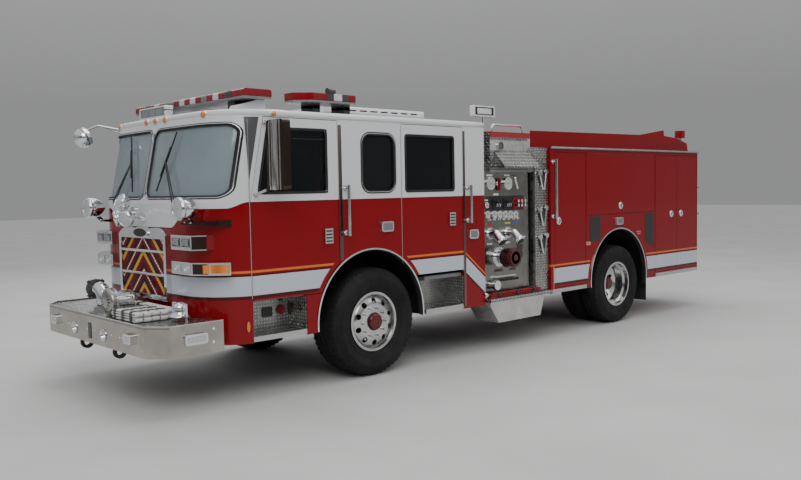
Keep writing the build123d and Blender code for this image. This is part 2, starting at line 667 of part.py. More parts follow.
def front_door_shape(gap):
    """Side view of a front door; a positive gap is the opening round it."""
    x = SEAM_FRONT - DOOR_GAP + gap
    top, bottom = DOOR_TOP_Z + gap, FRONT_DOOR_Z - gap
    back = POST_B + DOOR_GAP - gap
    return outline((back, bottom), (x, bottom), (x, BELT_Z), (x - lean(top), top), (back, top))


def crew_door_shape(gap):
    low, high = POST_D + DOOR_GAP - gap, POST_C - DOOR_GAP + gap
    foot, head = CREW_DOOR_Z - gap, DOOR_TOP_Z + gap
    return outline((low, foot), (high, foot), (high, head), (low, head))


def cab_side():
    """Cab side: header, window panel over the wheel, rear corner panel and the narrow leg by the step."""
    top, sill = ROOF_EDGE_Z, FRONT_DOOR_Z - DOOR_GAP
    plate = outline(
        (CAB_REAR, SKIRT_Z), (POST_D - 2, SKIRT_Z), (POST_D - 2, CREW_DOOR_Z), (SEAM_FRONT, CREW_DOOR_Z),
        (SEAM_FRONT, BELT_Z), (SEAM_FRONT - lean(top), top), (CAB_REAR, top),
    )
    foot, head = SKIRT_Z - 1, CREW_DOOR_Z + 1
    below = outline((POST_D - 2, foot), (POST_C, foot), (POST_C, head), (POST_D - 2, head))
    plate = plate - front_door_shape(DOOR_GAP) - crew_door_shape(DOOR_GAP) - below
    plate = plate - outline((POST_B + 1, 0), (SEAM_FRONT + 1, 0), (SEAM_FRONT + 1, 1100), (POST_B + 1, 1100))
    plate = plate - window(*MID_WINDOW, 95) - arch(FRONT_ARCH_X, FRONT_ARCH_Z, FRONT_ARCH_R)
    leg = outline((FRONT_ARCH_X, SKIRT_Z), (STEP_REAR_X, SKIRT_Z), (STEP_REAR_X, sill), (FRONT_ARCH_X, sill))
    leg = leg - arch(FRONT_ARCH_X, FRONT_ARCH_Z, FRONT_ARCH_R)
    solids = side_cut(plate, CAB_HALF - WALL, CAB_HALF).solids()
    solids += side_cut(leg, CAB_HALF - WALL, CAB_HALF).solids()
    keep("cab_sides", *solids, *[mirrored(s) for s in solids])


def cab_doors():
    """Four hinged cab doors with their panes, handles and hinge barrels."""
    tall = {
        "front": (
            front_door_shape(0),
            front_door_window(0),
            front_door_window(FIT),
            SEAM_FRONT,
            FRONT_DOOR_Z,
            BELT_Z,
        ),
        "crew": (
            crew_door_shape(0),
            window(*CREW_WINDOW, 6),
            window(*inset_window(CREW_WINDOW, FIT), 6),
            POST_C,
            FRONT_ARCH_Z + FRONT_ARCH_R - 110,
            DOOR_TOP_Z,
        ),
    }
    handles = {"front": (FRONT_AXLE_X + 603, 1442), "crew": (FRONT_AXLE_X - 1091, 1538)}
    for name, (shape, hole, pane, seam, low, high) in tall.items():
        sketch = shape - hole - arch(FRONT_ARCH_X, FRONT_ARCH_Z, FRONT_ARCH_R + DOOR_GAP)
        door = side_cut(sketch, CAB_HALF - WALL, CAB_HALF)
        pocket = side_cut(offset(hole, amount=26), CAB_HALF - WALL - 1, CAB_HALF - WALL + 12)
        door = door - pocket
        pin_x = seam - HINGE_R - FIT
        door += rod((pin_x, CAB_HALF, low + 20), (pin_x, CAB_HALF, high - 20), HINGE_R)
        x, z = handles[name]
        door += rounded_block((x - 45, x + 45), (CAB_HALF, CAB_HALF + 22), (z - 32, z + 32), 8, Axis.Y)
        glass = side_cut(pane, CAB_HALF - 26, CAB_HALF - 26 + GLASS)
        keep(f"door_{name}_left", door)
        keep(f"door_{name}_right", mirrored(door))
        keep(f"pane_{name}_left", glass)
        keep(f"pane_{name}_right", mirrored(glass))


def cab_floor():
    """Floor plate with the two wheel wells, the engine opening and the rear wall."""
    side = CAB_HALF - WALL - FIT
    plan = nose_plan(WALL + FIT, 0, CAB_REAR + 1)
    floor = plan_cut(plan, FLOOR_Z, FLOOR_Z + FLOOR_THICK)
    tunnel = ((TUNNEL_BACK_X, TUNNEL_FRONT_X), (-TUNNEL_HALF, TUNNEL_HALF))
    floor -= block(*tunnel, (FLOOR_Z - 1, FLOOR_Z + FLOOR_THICK + 1))
    for sign in (1, -1):
        y_out, y_in = sorted((sign * side, sign * (WELL_IN_Y - WELL_WALL)))
        outer = side_cut(arch(FRONT_ARCH_X, FRONT_ARCH_Z, WELL_R + WELL_WALL), y_out, y_in)
        r_low, r_high = sorted((sign * (side + 1), sign * WELL_IN_Y))
        room = side_cut(arch(FRONT_ARCH_X, FRONT_ARCH_Z, WELL_R), r_low, r_high)
        under = block((FRONT_ARCH_X - 900, FRONT_ARCH_X + 900), (y_out - 1, y_in + 1), (-300, SKIRT_Z + 4))
        floor = floor + outer - under - room
    floor += block((CAB_REAR, CAB_REAR + WALL), (-side, side), (FLOOR_Z, ROOF_EDGE_Z))
    keep("cab_floor", floor)


def cab_roof():
    """Crowned roof cap with a rain lip, hollow underneath."""
    shift = lean(ROOF_EDGE_Z)
    plan = nose_plan(0, shift, CAB_REAR)
    cap = plan_cut(plan, ROOF_EDGE_Z, ROOF_TOP_Z)
    crown = front_cut(Pos(0, ROOF_TOP_Z - ROOF_CROWN_R) * Circle(ROOF_CROWN_R), CAB_REAR - 10, NOSE_X)
    cap = cap & crown
    top_edges = [e for e in cap.edges() if e.center().Z > ROOF_EDGE_Z + 45]
    top_edges = [e for e in top_edges if abs(e.tangent_at(0.5).Z) < 0.5]
    cap = fillet(top_edges, 38)
    inner = plan_cut(nose_plan(WALL + 25, shift, CAB_REAR + WALL), ROOF_EDGE_Z - 1, ROOF_EDGE_Z + 22)
    keep("cab_roof", cap - inner)


def engine_cover():
    """Upholstered cover over the engine, open below."""
    x, y = (TUNNEL_BACK_X + FIT, TUNNEL_FRONT_X - FIT), (FIT - TUNNEL_HALF, TUNNEL_HALF - FIT)
    cover = rounded_block(x, y, (FLOOR_Z, TUNNEL_TOP_Z), 70, Axis.X)
    wall = 30
    cover -= block((x[0] + wall, x[1] - wall), (y[0] + wall, y[1] - wall), (FLOOR_Z - 1, TUNNEL_TOP_Z - wall))
    dash = block((TUNNEL_FRONT_X - 20, NOSE_X - 160), (-900, 900), (1440, 1740))
    dash -= block((TUNNEL_FRONT_X + 40, NOSE_X - 150), (-850, 850), (1400, 1700))
    keep("engine_cover_and_dash", cover + dash + steering_wheel())


def steering_wheel():
    """Steering wheel with three spokes on its column."""
    foot, head = Vector(NOSE_X - 300, STEER_WHEEL_Y, 1480), Vector(NOSE_X - 560, STEER_WHEEL_Y, 1760)
    column = rod(foot, head, 38)
    plane = Plane(origin=head, z_dir=head - foot)
    rim = revolve(Plane.XZ * Pos(STEER_WHEEL_R, 0) * Circle(15), Axis.Z)
    wheel = rim + Cylinder(45, 30)
    for turn in (90, 210, 330):
        wheel += Rot(0, 0, turn) * Pos(STEER_WHEEL_R / 2, 0, 0) * Box(STEER_WHEEL_R - 4, 36, 12)
    return column + plane.location * wheel


SEATS = (
    # x of the back rest, y, cushion height, facing (+1 forward)
    (FRONT_AXLE_X + 440, 760, 1430, 1),
    (FRONT_AXLE_X + 440, -760, 1430, 1),
    (FRONT_AXLE_X - 150, 760, 1485, -1),
    (FRONT_AXLE_X - 150, -760, 1485, -1),
    (CAB_REAR + 75, 480, 1380, 1),
    (CAB_REAR + 75, -480, 1380, 1),
)


def seats():
    """Six seats, each a cushion, a back rest and a pedestal to the floor or the wheel well."""
    solids = []
    for x, y, top, facing in SEATS:
        front = x + facing * 540
        low, high = sorted((x, front))
        cushion = rounded_block((low, high), (y - 250, y + 250), (top - 130, top), 45, Axis.X)
        b_low, b_high = sorted((x - facing * 20, x + facing * 110))
        back = rounded_block((b_low, b_high), (y - 240, y + 240), (top + FIT, top + 780), 60, Axis.X)
        base = block((low + 30, high - 30), (y - 210, y + 210), (FLOOR_Z + FLOOR_THICK, top - 130 - FIT))
        base -= side_cut(arch(FRONT_ARCH_X, FRONT_ARCH_Z, WELL_R + WELL_WALL + FIT), -CAB_HALF, CAB_HALF)
        solids += [cushion, back, *base.solids()]
    keep("seats", *solids)


def step_well(x_low, x_high):
    """Open-sided step well: tread, back plate and two end plates."""
    well = block((x_low, x_high), (STEP_BACK_Y, CAB_HALF - 6), (STEP_Z - 45, FLOOR_Z))
    return well - block(
        (x_low + TREAD_PLATE, x_high - TREAD_PLATE),
        (STEP_BACK_Y + TREAD_PLATE, CAB_HALF),
        (STEP_Z, FLOOR_Z + 1),
    )


def steps():
    """Step wells below the cab doors, pump running boards, the tool box below them and the tailboard."""
    crew = step_well(POST_D - 2, FRONT_ARCH_X - WELL_R + 80)
    crew -= side_cut(arch(FRONT_ARCH_X, FRONT_ARCH_Z, WELL_R + WELL_WALL + FIT), 0, CAB_HALF)
    low_z = PUMP_STEP_Z - PUMP_BOARD
    board = block((PUMP_REAR_X + 6, PUMP_FRONT_X + 50), (PUMP_PANEL_Y + FIT, PUMP_STEP_Y), (low_z, PUMP_STEP_Z))
    shelf = block((PUMP_REAR_X + 40, PUMP_FRONT_X), (900, PUMP_PANEL_Y + 10), (low_z, PUMP_STEP_Z + 5 - FIT))
    box = side_cut(
        outline(
            (FRONT_AXLE_X - 1696, low_z), (FRONT_AXLE_X - 1696, 510), (FRONT_AXLE_X - 1839, TOOL_BOX_Z),
            (FRONT_AXLE_X - 2613, TOOL_BOX_Z), (FRONT_AXLE_X - 2683, 510), (FRONT_AXLE_X - 2683, low_z),
        ),
        900,
        BODY_HALF - 10,
    )
    left = step_well(STEP_REAR_X, SEAM_FRONT) + crew
    left_parts = left.solids() + (board + shelf + box).solids()
    back = BODY_REAR_X - FIT
    for z in FOLDING_STEP_Z:
        tread = block((BODY_REAR_X - FOLDING_STEP_OUT, back), FOLDING_STEP_Y, (z - 20, z))
        tread += block((BODY_REAR_X - 12, back), FOLDING_STEP_Y, (z - 90, z))
        left_parts += tread.solids()
    tail = block((BODY_REAR_X - TAILBOARD_LENGTH, back), (-TAILBOARD_HALF, TAILBOARD_HALF), TAILBOARD_Z)
    tail = fillet(tail.edges().filter_by(Axis.Z).sort_by(Axis.X)[:2], 60)
    keep("steps", *left_parts, *[mirrored(p) for p in left_parts])
    return tail


def pump_house():
    """Pump enclosure behind the cab, with the plated columns in front of the body."""
    y_face = PUMP_PANEL_Y - 5
    low_z, deck_z = RAIL_Z + RAIL_HEIGHT, PUMP_UPPER_Z
    house = block((PUMP_COLUMN_X, PUMP_FRONT_X), (-y_face, y_face), (low_z, deck_z))
    house += block((PUMP_COLUMN_X, PUMP_UPPER_X), (-y_face, y_face), (deck_z - 1, PUMP_TOP_Z))
    for sign in (1, -1):
        low, high = sorted((sign * 900, sign * y_face))
        house += block((PUMP_REAR_X + 300, PUMP_FRONT_X), (low, high), (PUMP_STEP_Z + 5, low_z + 1))
        c_low, c_high = sorted((sign * 900, sign * PUMP_COLUMN_Y))
        house += block((PUMP_REAR_X, PUMP_COLUMN_X), (c_low, c_high), (PUMP_STEP_Z + 5, BODY_TOP_Z))
        g_low, g_high = sorted((sign * (y_face - 60), sign * (y_face + 1)))
        house -= block((PUMP_COLUMN_X + 2, PUMP_COLUMN_X + 50), (g_low, g_high), (710, 2045))
    house += block((PUMP_REAR_X, PUMP_COLUMN_X + 1), (-900, 900), (low_z, BODY_TOP_Z - 20))
    keep("pump_house", house)


# Fittings on each pump panel: X from the front axle, Z, radius, how far it stands out
PANEL_DIALS = (
    (-1804, 1917, 74, 26),
    (-2114, 1914, 74, 26),
    (-1754, 1560, 44, 18),
    (-1874, 1558, 44, 18),
    (-1970, 1555, 44, 18),
    (-2066, 1552, 44, 18),
    (-2162, 1549, 44, 18),
    (-2258, 1546, 44, 18),
    (-1745, 1669, 36, 14),
    (-1990, 2352, 50, 22),
)
PANEL_OUTLETS = ((-1795, 1345), (-2115, 1340))
OUTLET_R = 50
# Raised plates of the valve controls: X, Z, half width, half height
PANEL_PLATES = ((-1915, 1680, 62, 60), (-2105, 1680, 62, 60), (-2312, 1680, 100, 66))
# Pull handles of the valves: X, Z
PANEL_HANDLES = (
    (-1890, 1700), (-1940, 1700), (-2080, 1700), (-2130, 1700),
    (-2250, 1705), (-2312, 1705), (-2374, 1705), (-2250, 1655), (-2312, 1655), (-2374, 1655),
)
DRAIN_X = (-1897, -1947, -1997, -2047, -2097, -2147, -2197, -2247)
DRAIN_Z = 792
INTAKE = (-1947, 1065, 86, 100)
AUX_INTAKE = (-1835, 745, 55)


def panel_fitting(x, z, radius, depth, reach=0):
    """Round boss standing out of the pump panel, or a stretch of one that starts further out."""
    x += FRONT_AXLE_X
    return rod((x, PUMP_PANEL_Y + reach - 2, z), (x, PUMP_PANEL_Y + depth, z), radius)


def outlet(x, z):
    """Discharge elbow turned down by 45 degrees, with its cap."""
    x += FRONT_AXLE_X
    knee = Vector(x, PUMP_PANEL_Y + 100, z)
    tip = knee + Vector(0, 66, -66)
    end = tip + Vector(0, 30, -30)
    flange = rod((x, PUMP_PANEL_Y - 2, z), (x, PUMP_PANEL_Y + 14, z), OUTLET_R + 18)
    pipe = rod((x, PUMP_PANEL_Y, z), knee, OUTLET_R) + Pos(*knee) * Sphere(OUTLET_R)
    pipe += rod(knee, tip, OUTLET_R)
    return flange + pipe + rod(tip, end, OUTLET_R + 10)


def intake():
    """Large suction inlet with its lugged cap."""
    x, z, pipe, cap = INTAKE
    solid = panel_fitting(x, z, pipe + 30, 16) + panel_fitting(x, z, pipe, 110)
    solid += panel_fitting(x, z, cap, 260, 100)
    for i in range(4):
        lug = Rot(0, 45 + 90 * i, 0) * Pos(0, 0, cap + 14) * Box(30, 60, 44)
        solid += Pos(FRONT_AXLE_X + x, PUMP_PANEL_Y + 190, z) * lug
    return solid


def panel_hood():
    """Sloped lamp hood over the gauges with its side plates."""
    y, (low, high) = PUMP_PANEL_Y, HOOD_Z
    section = outline(
        (y - 1, high), (HOOD_Y, low + 15), (HOOD_Y, low), (HOOD_Y - 10, low), (HOOD_Y - 10, low + 10), (y - 1, high - 12)
    )
    cheek = outline((y - 1, high - 4), (HOOD_Y - 2, low + 10), (HOOD_Y - 2, low), (y - 1, low + 30))
    hood = front_cut(section, HOOD_REAR_X, HOOD_FRONT_X)
    for x in (HOOD_REAR_X, HOOD_FRONT_X - 6):
        hood += front_cut(cheek, x, x + 6)
    return hood


def pump_panels():
    """Side control panels with dials, outlets, intakes, valve handles, drain knobs and the lamp hood."""
    rear, front, low = PUMP_COLUMN_X + 60, PUMP_FRONT_X - 8, PUMP_STEP_Z + 5
    plate = side_cut(
        outline(
            (rear, low), (front, low), (front, PUMP_UPPER_Z), (PUMP_UPPER_X, PUMP_UPPER_Z),
            (PUMP_UPPER_X, PUMP_TOP_Z), (rear, PUMP_TOP_Z),
        ),
        PUMP_PANEL_Y - 5,
        PUMP_PANEL_Y,
    )
    for x, z, radius, depth in PANEL_DIALS:
        plate += panel_fitting(x, z, radius, depth) - panel_fitting(x, z, radius - 8, depth + 1, depth - 4)
    for x, z, half, height in PANEL_PLATES:
        x += FRONT_AXLE_X
        plate += block((x - half, x + half), (PUMP_PANEL_Y - 1, PUMP_PANEL_Y + 8), (z - height, z + height))
    for x, z in PANEL_HANDLES:
        plate += panel_fitting(x, z, 7, 52) + panel_fitting(x, z, 17, 66, 46)
    for x in DRAIN_X:
        plate += panel_fitting(x, DRAIN_Z, 8, 34) + panel_fitting(x, DRAIN_Z, 16, 44, 28)
    for x, z in PANEL_OUTLETS:
        plate += outlet(x, z)
    x, z, radius = AUX_INTAKE
    plate += panel_fitting(x, z, radius * 0.8, 50) + panel_fitting(x, z, radius, 84, 44)
    plate = plate + intake() + panel_hood()
    keep("pump_panels", plate, mirrored(plate))


def lockers():
    """Limits of the side lockers: X, Z, hinge edge of each leaf."""
    front = BODY_FRONT_X - LOCKER_STRIP
    rear = BODY_REAR_X + 15
    middle = (SEAM_23 + rear) / 2
    tall = (LOCKER_LOW_Z, LOCKER_TOP_Z)
    front_low = SEAM_12 + DOOR_GAP
    mid_low, mid_high = SEAM_23 + DOOR_GAP, SEAM_12 - DOOR_GAP
    rear_high = SEAM_23 - DOOR_GAP
    fore = ("_fore", middle - DOOR_GAP / 2, rear_high, "front")
    aft = ("_aft", rear, middle + DOOR_GAP / 2, "rear")
    return {
        "front": ((front_low, front), tall, (("", front_low, front, "rear"),)),
        "middle": ((mid_low, mid_high), (HIGH_LOCKER_Z, LOCKER_TOP_Z), (("", mid_low, mid_high, "top"),)),
        "rear": ((rear, rear_high), tall, (fore, aft)),
    }


def body_modules():
    """Side locker modules with their wheel arches, and the locker doors."""
    module = block((BODY_REAR_X, BODY_FRONT_X), (MODULE_IN_Y, BODY_HALF), (BODY_Z, BODY_TOP_Z))
    for name, (x, z, leaves) in lockers().items():
        room = (x[0] + 24, x[1] - 24)
        module -= block(x, (BODY_HALF - BODY_SKIN, BODY_HALF + 1), z)
        module -= block(room, (MODULE_IN_Y + 30, BODY_HALF + 1), (z[0] + 14, z[1] - 14))
        for suffix, low, high, edge in leaves:
            a, b = low + DOOR_GAP, high - DOOR_GAP
            z_low, z_high = z[0] + DOOR_GAP, z[1] - DOOR_GAP
            leaf = block((a, b), (BODY_HALF - BODY_SKIN + 1, BODY_HALF), (z_low, z_high))
            pan = block((a + 30, b - 30), (BODY_HALF - BODY_SKIN, BODY_HALF - 8), (z_low + 30, z_high - 30))
            leaf -= pan
            if edge == "top":
                pin_z = z[1] - HINGE_R - FIT
                leaf += rod((a + 10, BODY_HALF, pin_z), (b - 10, BODY_HALF, pin_z), HINGE_R)
            else:
                pin_x = low + HINGE_R + FIT if edge == "rear" else high - HINGE_R - FIT
                leaf += rod((pin_x, BODY_HALF, z_low + 10), (pin_x, BODY_HALF, z_high - 10), HINGE_R)
            latch_x, latch_z = LATCHES[name + suffix]
            latch = side_cut(Pos(latch_x, latch_z) * Circle(42), BODY_HALF - 1, BODY_HALF + 8)
            ring = side_cut(Pos(latch_x, latch_z) * (Circle(34) - Circle(24)), BODY_HALF + 7, BODY_HALF + 15)
            leaf = leaf + latch + ring
            keep(f"locker_{name}{suffix}_left", leaf)
            keep(f"locker_{name}{suffix}_right", mirrored(leaf))
    module -= side_cut(arch(REAR_ARCH_X, REAR_ARCH_Z, REAR_ARCH_R), MODULE_IN_Y - 1, BODY_HALF + 1)
    arch_x = (REAR_ARCH_X - REAR_ARCH_R, REAR_ARCH_X + REAR_ARCH_R)
    module -= block(arch_x, (MODULE_IN_Y - 1, BODY_HALF + 1), (BODY_Z - 1, REAR_ARCH_Z))
    keep("body_modules", module, mirrored(module))


# Top edge of each hose bed board: X from the front axle, Z
BOARD_EDGE = (
    (-2576, BED_TOP_Z),
    (-5023, BED_TOP_Z + 24),
    (-5678, BED_TOP_Z + 110),
    (-5692, BED_TOP_Z + 30),
    (-6060, BED_TOP_Z + 4),
    (-6360, BED_TOP_Z - 66),
)


def bed_board():
    """Side board of the hose bed, which starts over the pump column and is raised towards its rear end."""
    edge = [(FRONT_AXLE_X + x, z) for x, z in BOARD_EDGE]
    low = BODY_TOP_Z + FIT
    board = outline((edge[0][0], low), *edge, (edge[-1][0] - 40, low))
    return side_cut(board, BED_BOARD_Y - BED_SHEET, BED_BOARD_Y)


def deck_rails():
    """Low rails along both edges of the pump deck."""
    x_low, x_high = DECK_RAIL_X
    y, foot, top = DECK_RAIL_Y, PUMP_TOP_Z + FIT, PUMP_TOP_Z + 112
    points = [(x_low, y, foot), (x_low, y, top), (x_high, y, top), (x_high, y, foot)]
    rail = bent_tube(points, [40, 40], DECK_RAIL_R)
    return [rail, mirrored(rail)]


def tank_and_bed(tailboard):
    """Water tank between the modules, the hose bed over it, and the rear panel with the tailboard."""
    side = MODULE_IN_Y - FIT
    tank_z = (RAIL_Z + RAIL_HEIGHT, BED_FLOOR_Z - FIT)
    tank = block((BODY_REAR_X + 40, BODY_FRONT_X - 6), (-side, side), tank_z)
    well = side_cut(arch(REAR_ARCH_X, REAR_ARCH_Z, REAR_ARCH_R), REAR_WELL_IN_Y, side + 1)
    TANKS.append(tank - well - mirrored(well))
    t = BED_SHEET
    floor_z, edge_z = BED_FLOOR_Z, BODY_TOP_Z
    half = (
        (0, floor_z), (side, floor_z), (side, edge_z + FIT), (BED_BOARD_Y, edge_z + FIT),
        (BED_BOARD_Y, edge_z + t), (side - t, edge_z + t), (side - t, floor_z + t), (0, floor_z + t),
    )
    bed = front_cut(outline(*half), BODY_REAR_X + 10, BODY_FRONT_X) + bed_board()
    bed = bed + mirrored(bed)
    front_x, front_top = (BODY_FRONT_X - t, BODY_FRONT_X), BED_TOP_Z - 60
    bed += block(front_x, (5 - BED_BOARD_Y, BED_BOARD_Y - 5), (edge_z + 1, front_top))
    bed += block(front_x, (1 - side, side - 1), (floor_z + 1, front_top))
    keep("hose_bed", bed)
    rear = block((BODY_REAR_X, BODY_REAR_X + 36), (-side, side), (TAILBOARD_Z[0], BED_FLOOR_Z - FIT))
    rear += block((BODY_REAR_X - 1, BODY_REAR_X + 20), (-side, side), TAILBOARD_Z)
    keep("rear_panel", rear + tailboard)
    y, top = PUMP_PANEL_Y, PUMP_TOP_Z
    section = make_face(
        [
            Line((-y, top + FIT), (y, top + FIT)),
            Line((y, top + FIT), (y, top + 22)),
            ThreePointArc((y, top + 22), (0, top + 40), (-y, top + 22)),
            Line((-y, top + 22), (-y, top + FIT)),
        ]
    )
    low, high = PUMP_COLUMN_X + 5, PUMP_UPPER_X - 10
    cover = front_cut(section, low, high)
    for sign in (1, -1):
        cover += block((low, high), sorted((sign * (y + FIT), sign * (y + 6))), (top - 42, top + 20))
        cover += block((low, high), sorted((sign * (y - 2), sign * (y + 6))), (top + FIT, top + 20))
        for x in DECK_RAIL_X:
            cover -= rod((x, sign * DECK_RAIL_Y, top - 1), (x, sign * DECK_RAIL_Y, top + 80), DECK_RAIL_R + 2)
    keep("crosslay_cover", cover)


def arch_trims():
    """Bright rings round the four wheel arches, and the mud flaps."""
    ring = (
        (FRONT_ARCH_X, FRONT_ARCH_Z, FRONT_ARCH_R, SKIRT_Z + 10, CAB_HALF - 30, CAB_HALF + 12),
        (REAR_ARCH_X, REAR_ARCH_Z, REAR_ARCH_R, BODY_Z, BODY_HALF - 30, BODY_HALF + 12),
    )
    left = []
    for x, z, radius, low, y_low, y_high in ring:
        band = Circle(radius - FIT) - Circle(radius - 16)
        solid = side_cut(Pos(x, z) * band, y_low, y_high)
        left.append(solid - block((x - 900, x + 900), (y_low - 1, y_high + 1), (z - 900, low)))
    left += grab_rails() + [drip_rail()] + hose_spanners()
    keep("bright_trim", *left, *[mirrored(p) for p in left], *deck_rails(), *rear_rails())
    flap_x = REAR_ARCH_X - REAR_ARCH_R - 60
    flap = block((flap_x - 10, flap_x), (MODULE_IN_Y + 10, BODY_HALF - 40), (230, BODY_Z - FIT))
    keep("mud_flaps", flap, mirrored(flap))


RAIL_STAND_OFF = 62
# Grab rails on the left: X from the front axle, panel Y, low and high Z
RAILS = (
    (388, CAB_HALF, 1433, 1920),
    (-1345, CAB_HALF, 1485, 1902),
    (-2860, BODY_HALF, 1471, 2202),
)


def grab_rail(start, end, out):
    """Grab rail between two points, standing off its panel along a direction on two clamps."""
    start, end, out = Vector(*start), Vector(*end), Vector(*out)
    along = (end - start).normalized()
    rail = rod(start + out * RAIL_STAND_OFF, end + out * RAIL_STAND_OFF, 17)
    for foot in (start + along * 30, end - along * 30):
        rail += rod(foot + out * FIT, foot + out * RAIL_STAND_OFF, 14)
        rail += rod(foot + out * FIT, foot + out * 12, 26)
    return rail


def grab_rails():
    rails = []
    for x, y, low, high in RAILS:
        x += FRONT_AXLE_X
        rails.append(grab_rail((x, y, low), (x, y, high), (0, 1, 0)))
    return rails


def rear_rails():
    """Two upright rails and one cross rail on the rear face."""
    x, y = BODY_REAR_X, MODULE_IN_Y + 60
    rails = [grab_rail((x, side * y, 1300), (x, side * y, 2150), (-1, 0, 0)) for side in (1, -1)]
    cross_y, cross_z = MODULE_IN_Y - 60, BED_FLOOR_Z - 90
    rails.append(grab_rail((x, -cross_y, cross_z), (x, cross_y, cross_z), (-1, 0, 0)))
    return rails


def drip_rail():
    """Bright rail along the top edge of the body side."""
    low, high = DRIP_RAIL_Z
    y = BODY_HALF
    section = outline((y + FIT, low), (y + FIT, high), (y + 18, high), (y + 24, low + 10), (y + 24, low))
    return front_cut(section, BODY_REAR_X, BODY_FRONT_X)


# Centres of the three hose spanner holders on each column
SPANNER_X = FRONT_AXLE_X - 2690
SPANNER_Z = (1953, 1514, 1180)


def hose_spanners():
    """Pairs of hose spanners in their holders on the pump columns."""
    holders = []
    y = PUMP_COLUMN_Y + FIT
    for z in SPANNER_Z:
        x = SPANNER_X
        plate = outline((x - 70, z + 70), (x + 75, z + 35), (x + 25, z - 60), (x - 35, z - 60))
        holder = side_cut(plate, y, y + 12)
        for foot, head in (((x - 25, z - 125), (x - 62, z + 95)), ((x + 5, z - 120), (x + 62, z + 75))):
            holder += rod((foot[0], y + 22, foot[1]), (head[0], y + 22, head[1]), 11)
            holder += rod((head[0], y + 10, head[1]), (head[0], y + 36, head[1]), 30)
        holders.append(holder)
    return holders


def door_mirrors():
    """Tall mirrors on two arms from each front door."""
    x, y = FRONT_AXLE_X + 1310, CAB_HALF + 250
    head = rounded_block((x - 40, x + 40), (y - 125, y + 125), (1885, 2490), 35, Axis.X)
    for root_x, root_z, head_z in ((FRONT_AXLE_X + 1285, 2478, 2465), (FRONT_AXLE_X + 1402, 1845, 1920)):
        head += rod((root_x, CAB_HALF + FIT, root_z), (root_x, CAB_HALF + 24, root_z), 20)
        head += rod((root_x, CAB_HALF + 20, root_z), (x, y - 60, head_z), 13)
    keep("mirror_left", head)
    keep("mirror_right", mirrored(head))


def convex_mirror():
    """Round look-down mirror on a bent arm from the right corner post."""
    root = Vector(FRONT_AXLE_X + 1530, 161 - CAB_HALF, 2545)
    elbow = Vector(FRONT_AXLE_X + 1828, 178 - CAB_HALF, 2585)
    tip = Vector(FRONT_AXLE_X + 1960, 165 - CAB_HALF, 2525)
    centre = Vector(FRONT_AXLE_X + 1969, 165 - CAB_HALF, 2459)
    arm = rod(root, elbow, 11) + rod(elbow, tip, 11) + Pos(elbow) * Sphere(11)
    arm += rod((FRONT_AXLE_X + 1540, 141 - CAB_HALF, 2500), elbow + (root - elbow) * 0.15, 8)
    arm -= nose_solid(-FIT, BELT_Z, ROOF_EDGE_Z)
    turned = Pos(*centre) * Rot(0, 25, 0)
    return arm + (turned * Sphere(CONVEX_MIRROR_R) - turned * Pos(-140, 0, 0) * Box(200, 300, 300))


def grille():
    """Grille frame with an arched crown, cross bars and an insert of vertical bars."""
    w, low, top = GRILLE_HALF, GRILLE_Z, GRILLE_TOP_Z
    outer = make_face(
        [
            Line((-w, low), (w, low)),
            Line((w, low), (w, top - 40)),
            ThreePointArc((w, top - 40), (w - 60, top - 5), (150, top + 5)),
            ThreePointArc((150, top + 5), (0, top + 35), (-150, top + 5)),
            ThreePointArc((-150, top + 5), (60 - w, top - 5), (-w, top - 40)),
            Line((-w, top - 40), (-w, low)),
        ]
    )
    hole = window(45 - w, w - 45, low + 45, top - 75, 30)
    frame = front_cut(outer, NOSE_X - 14, NOSE_X + 42) - front_cut(hole, NOSE_X - 60, NOSE_X + 60)
    for z in (1118, 1335):
        frame += rod((NOSE_X + 24, 40 - w, z), (NOSE_X + 24, w - 40, z), 15)
    slats = block((NOSE_X + 2, NOSE_X + 8), (40 - w, w - 40), (low + 40, top - 70))
    bars = 17
    pitch = (2 * w - 130) / (bars - 1)
    for i in range(bars):
        y = 65 - w + pitch * i
        slats += block((NOSE_X + 7, NOSE_X + 20), (y - 4, y + 4), (low + 46, top - 76))
    badge = front_cut(Pos(0, top - 18) * Ellipse(62, 30), NOSE_X + 40, NOSE_X + 52)
    frame = frame + slats + badge - nose_solid(0, SKIRT_Z, BELT_Z)
    keep("grille", *frame.solids())


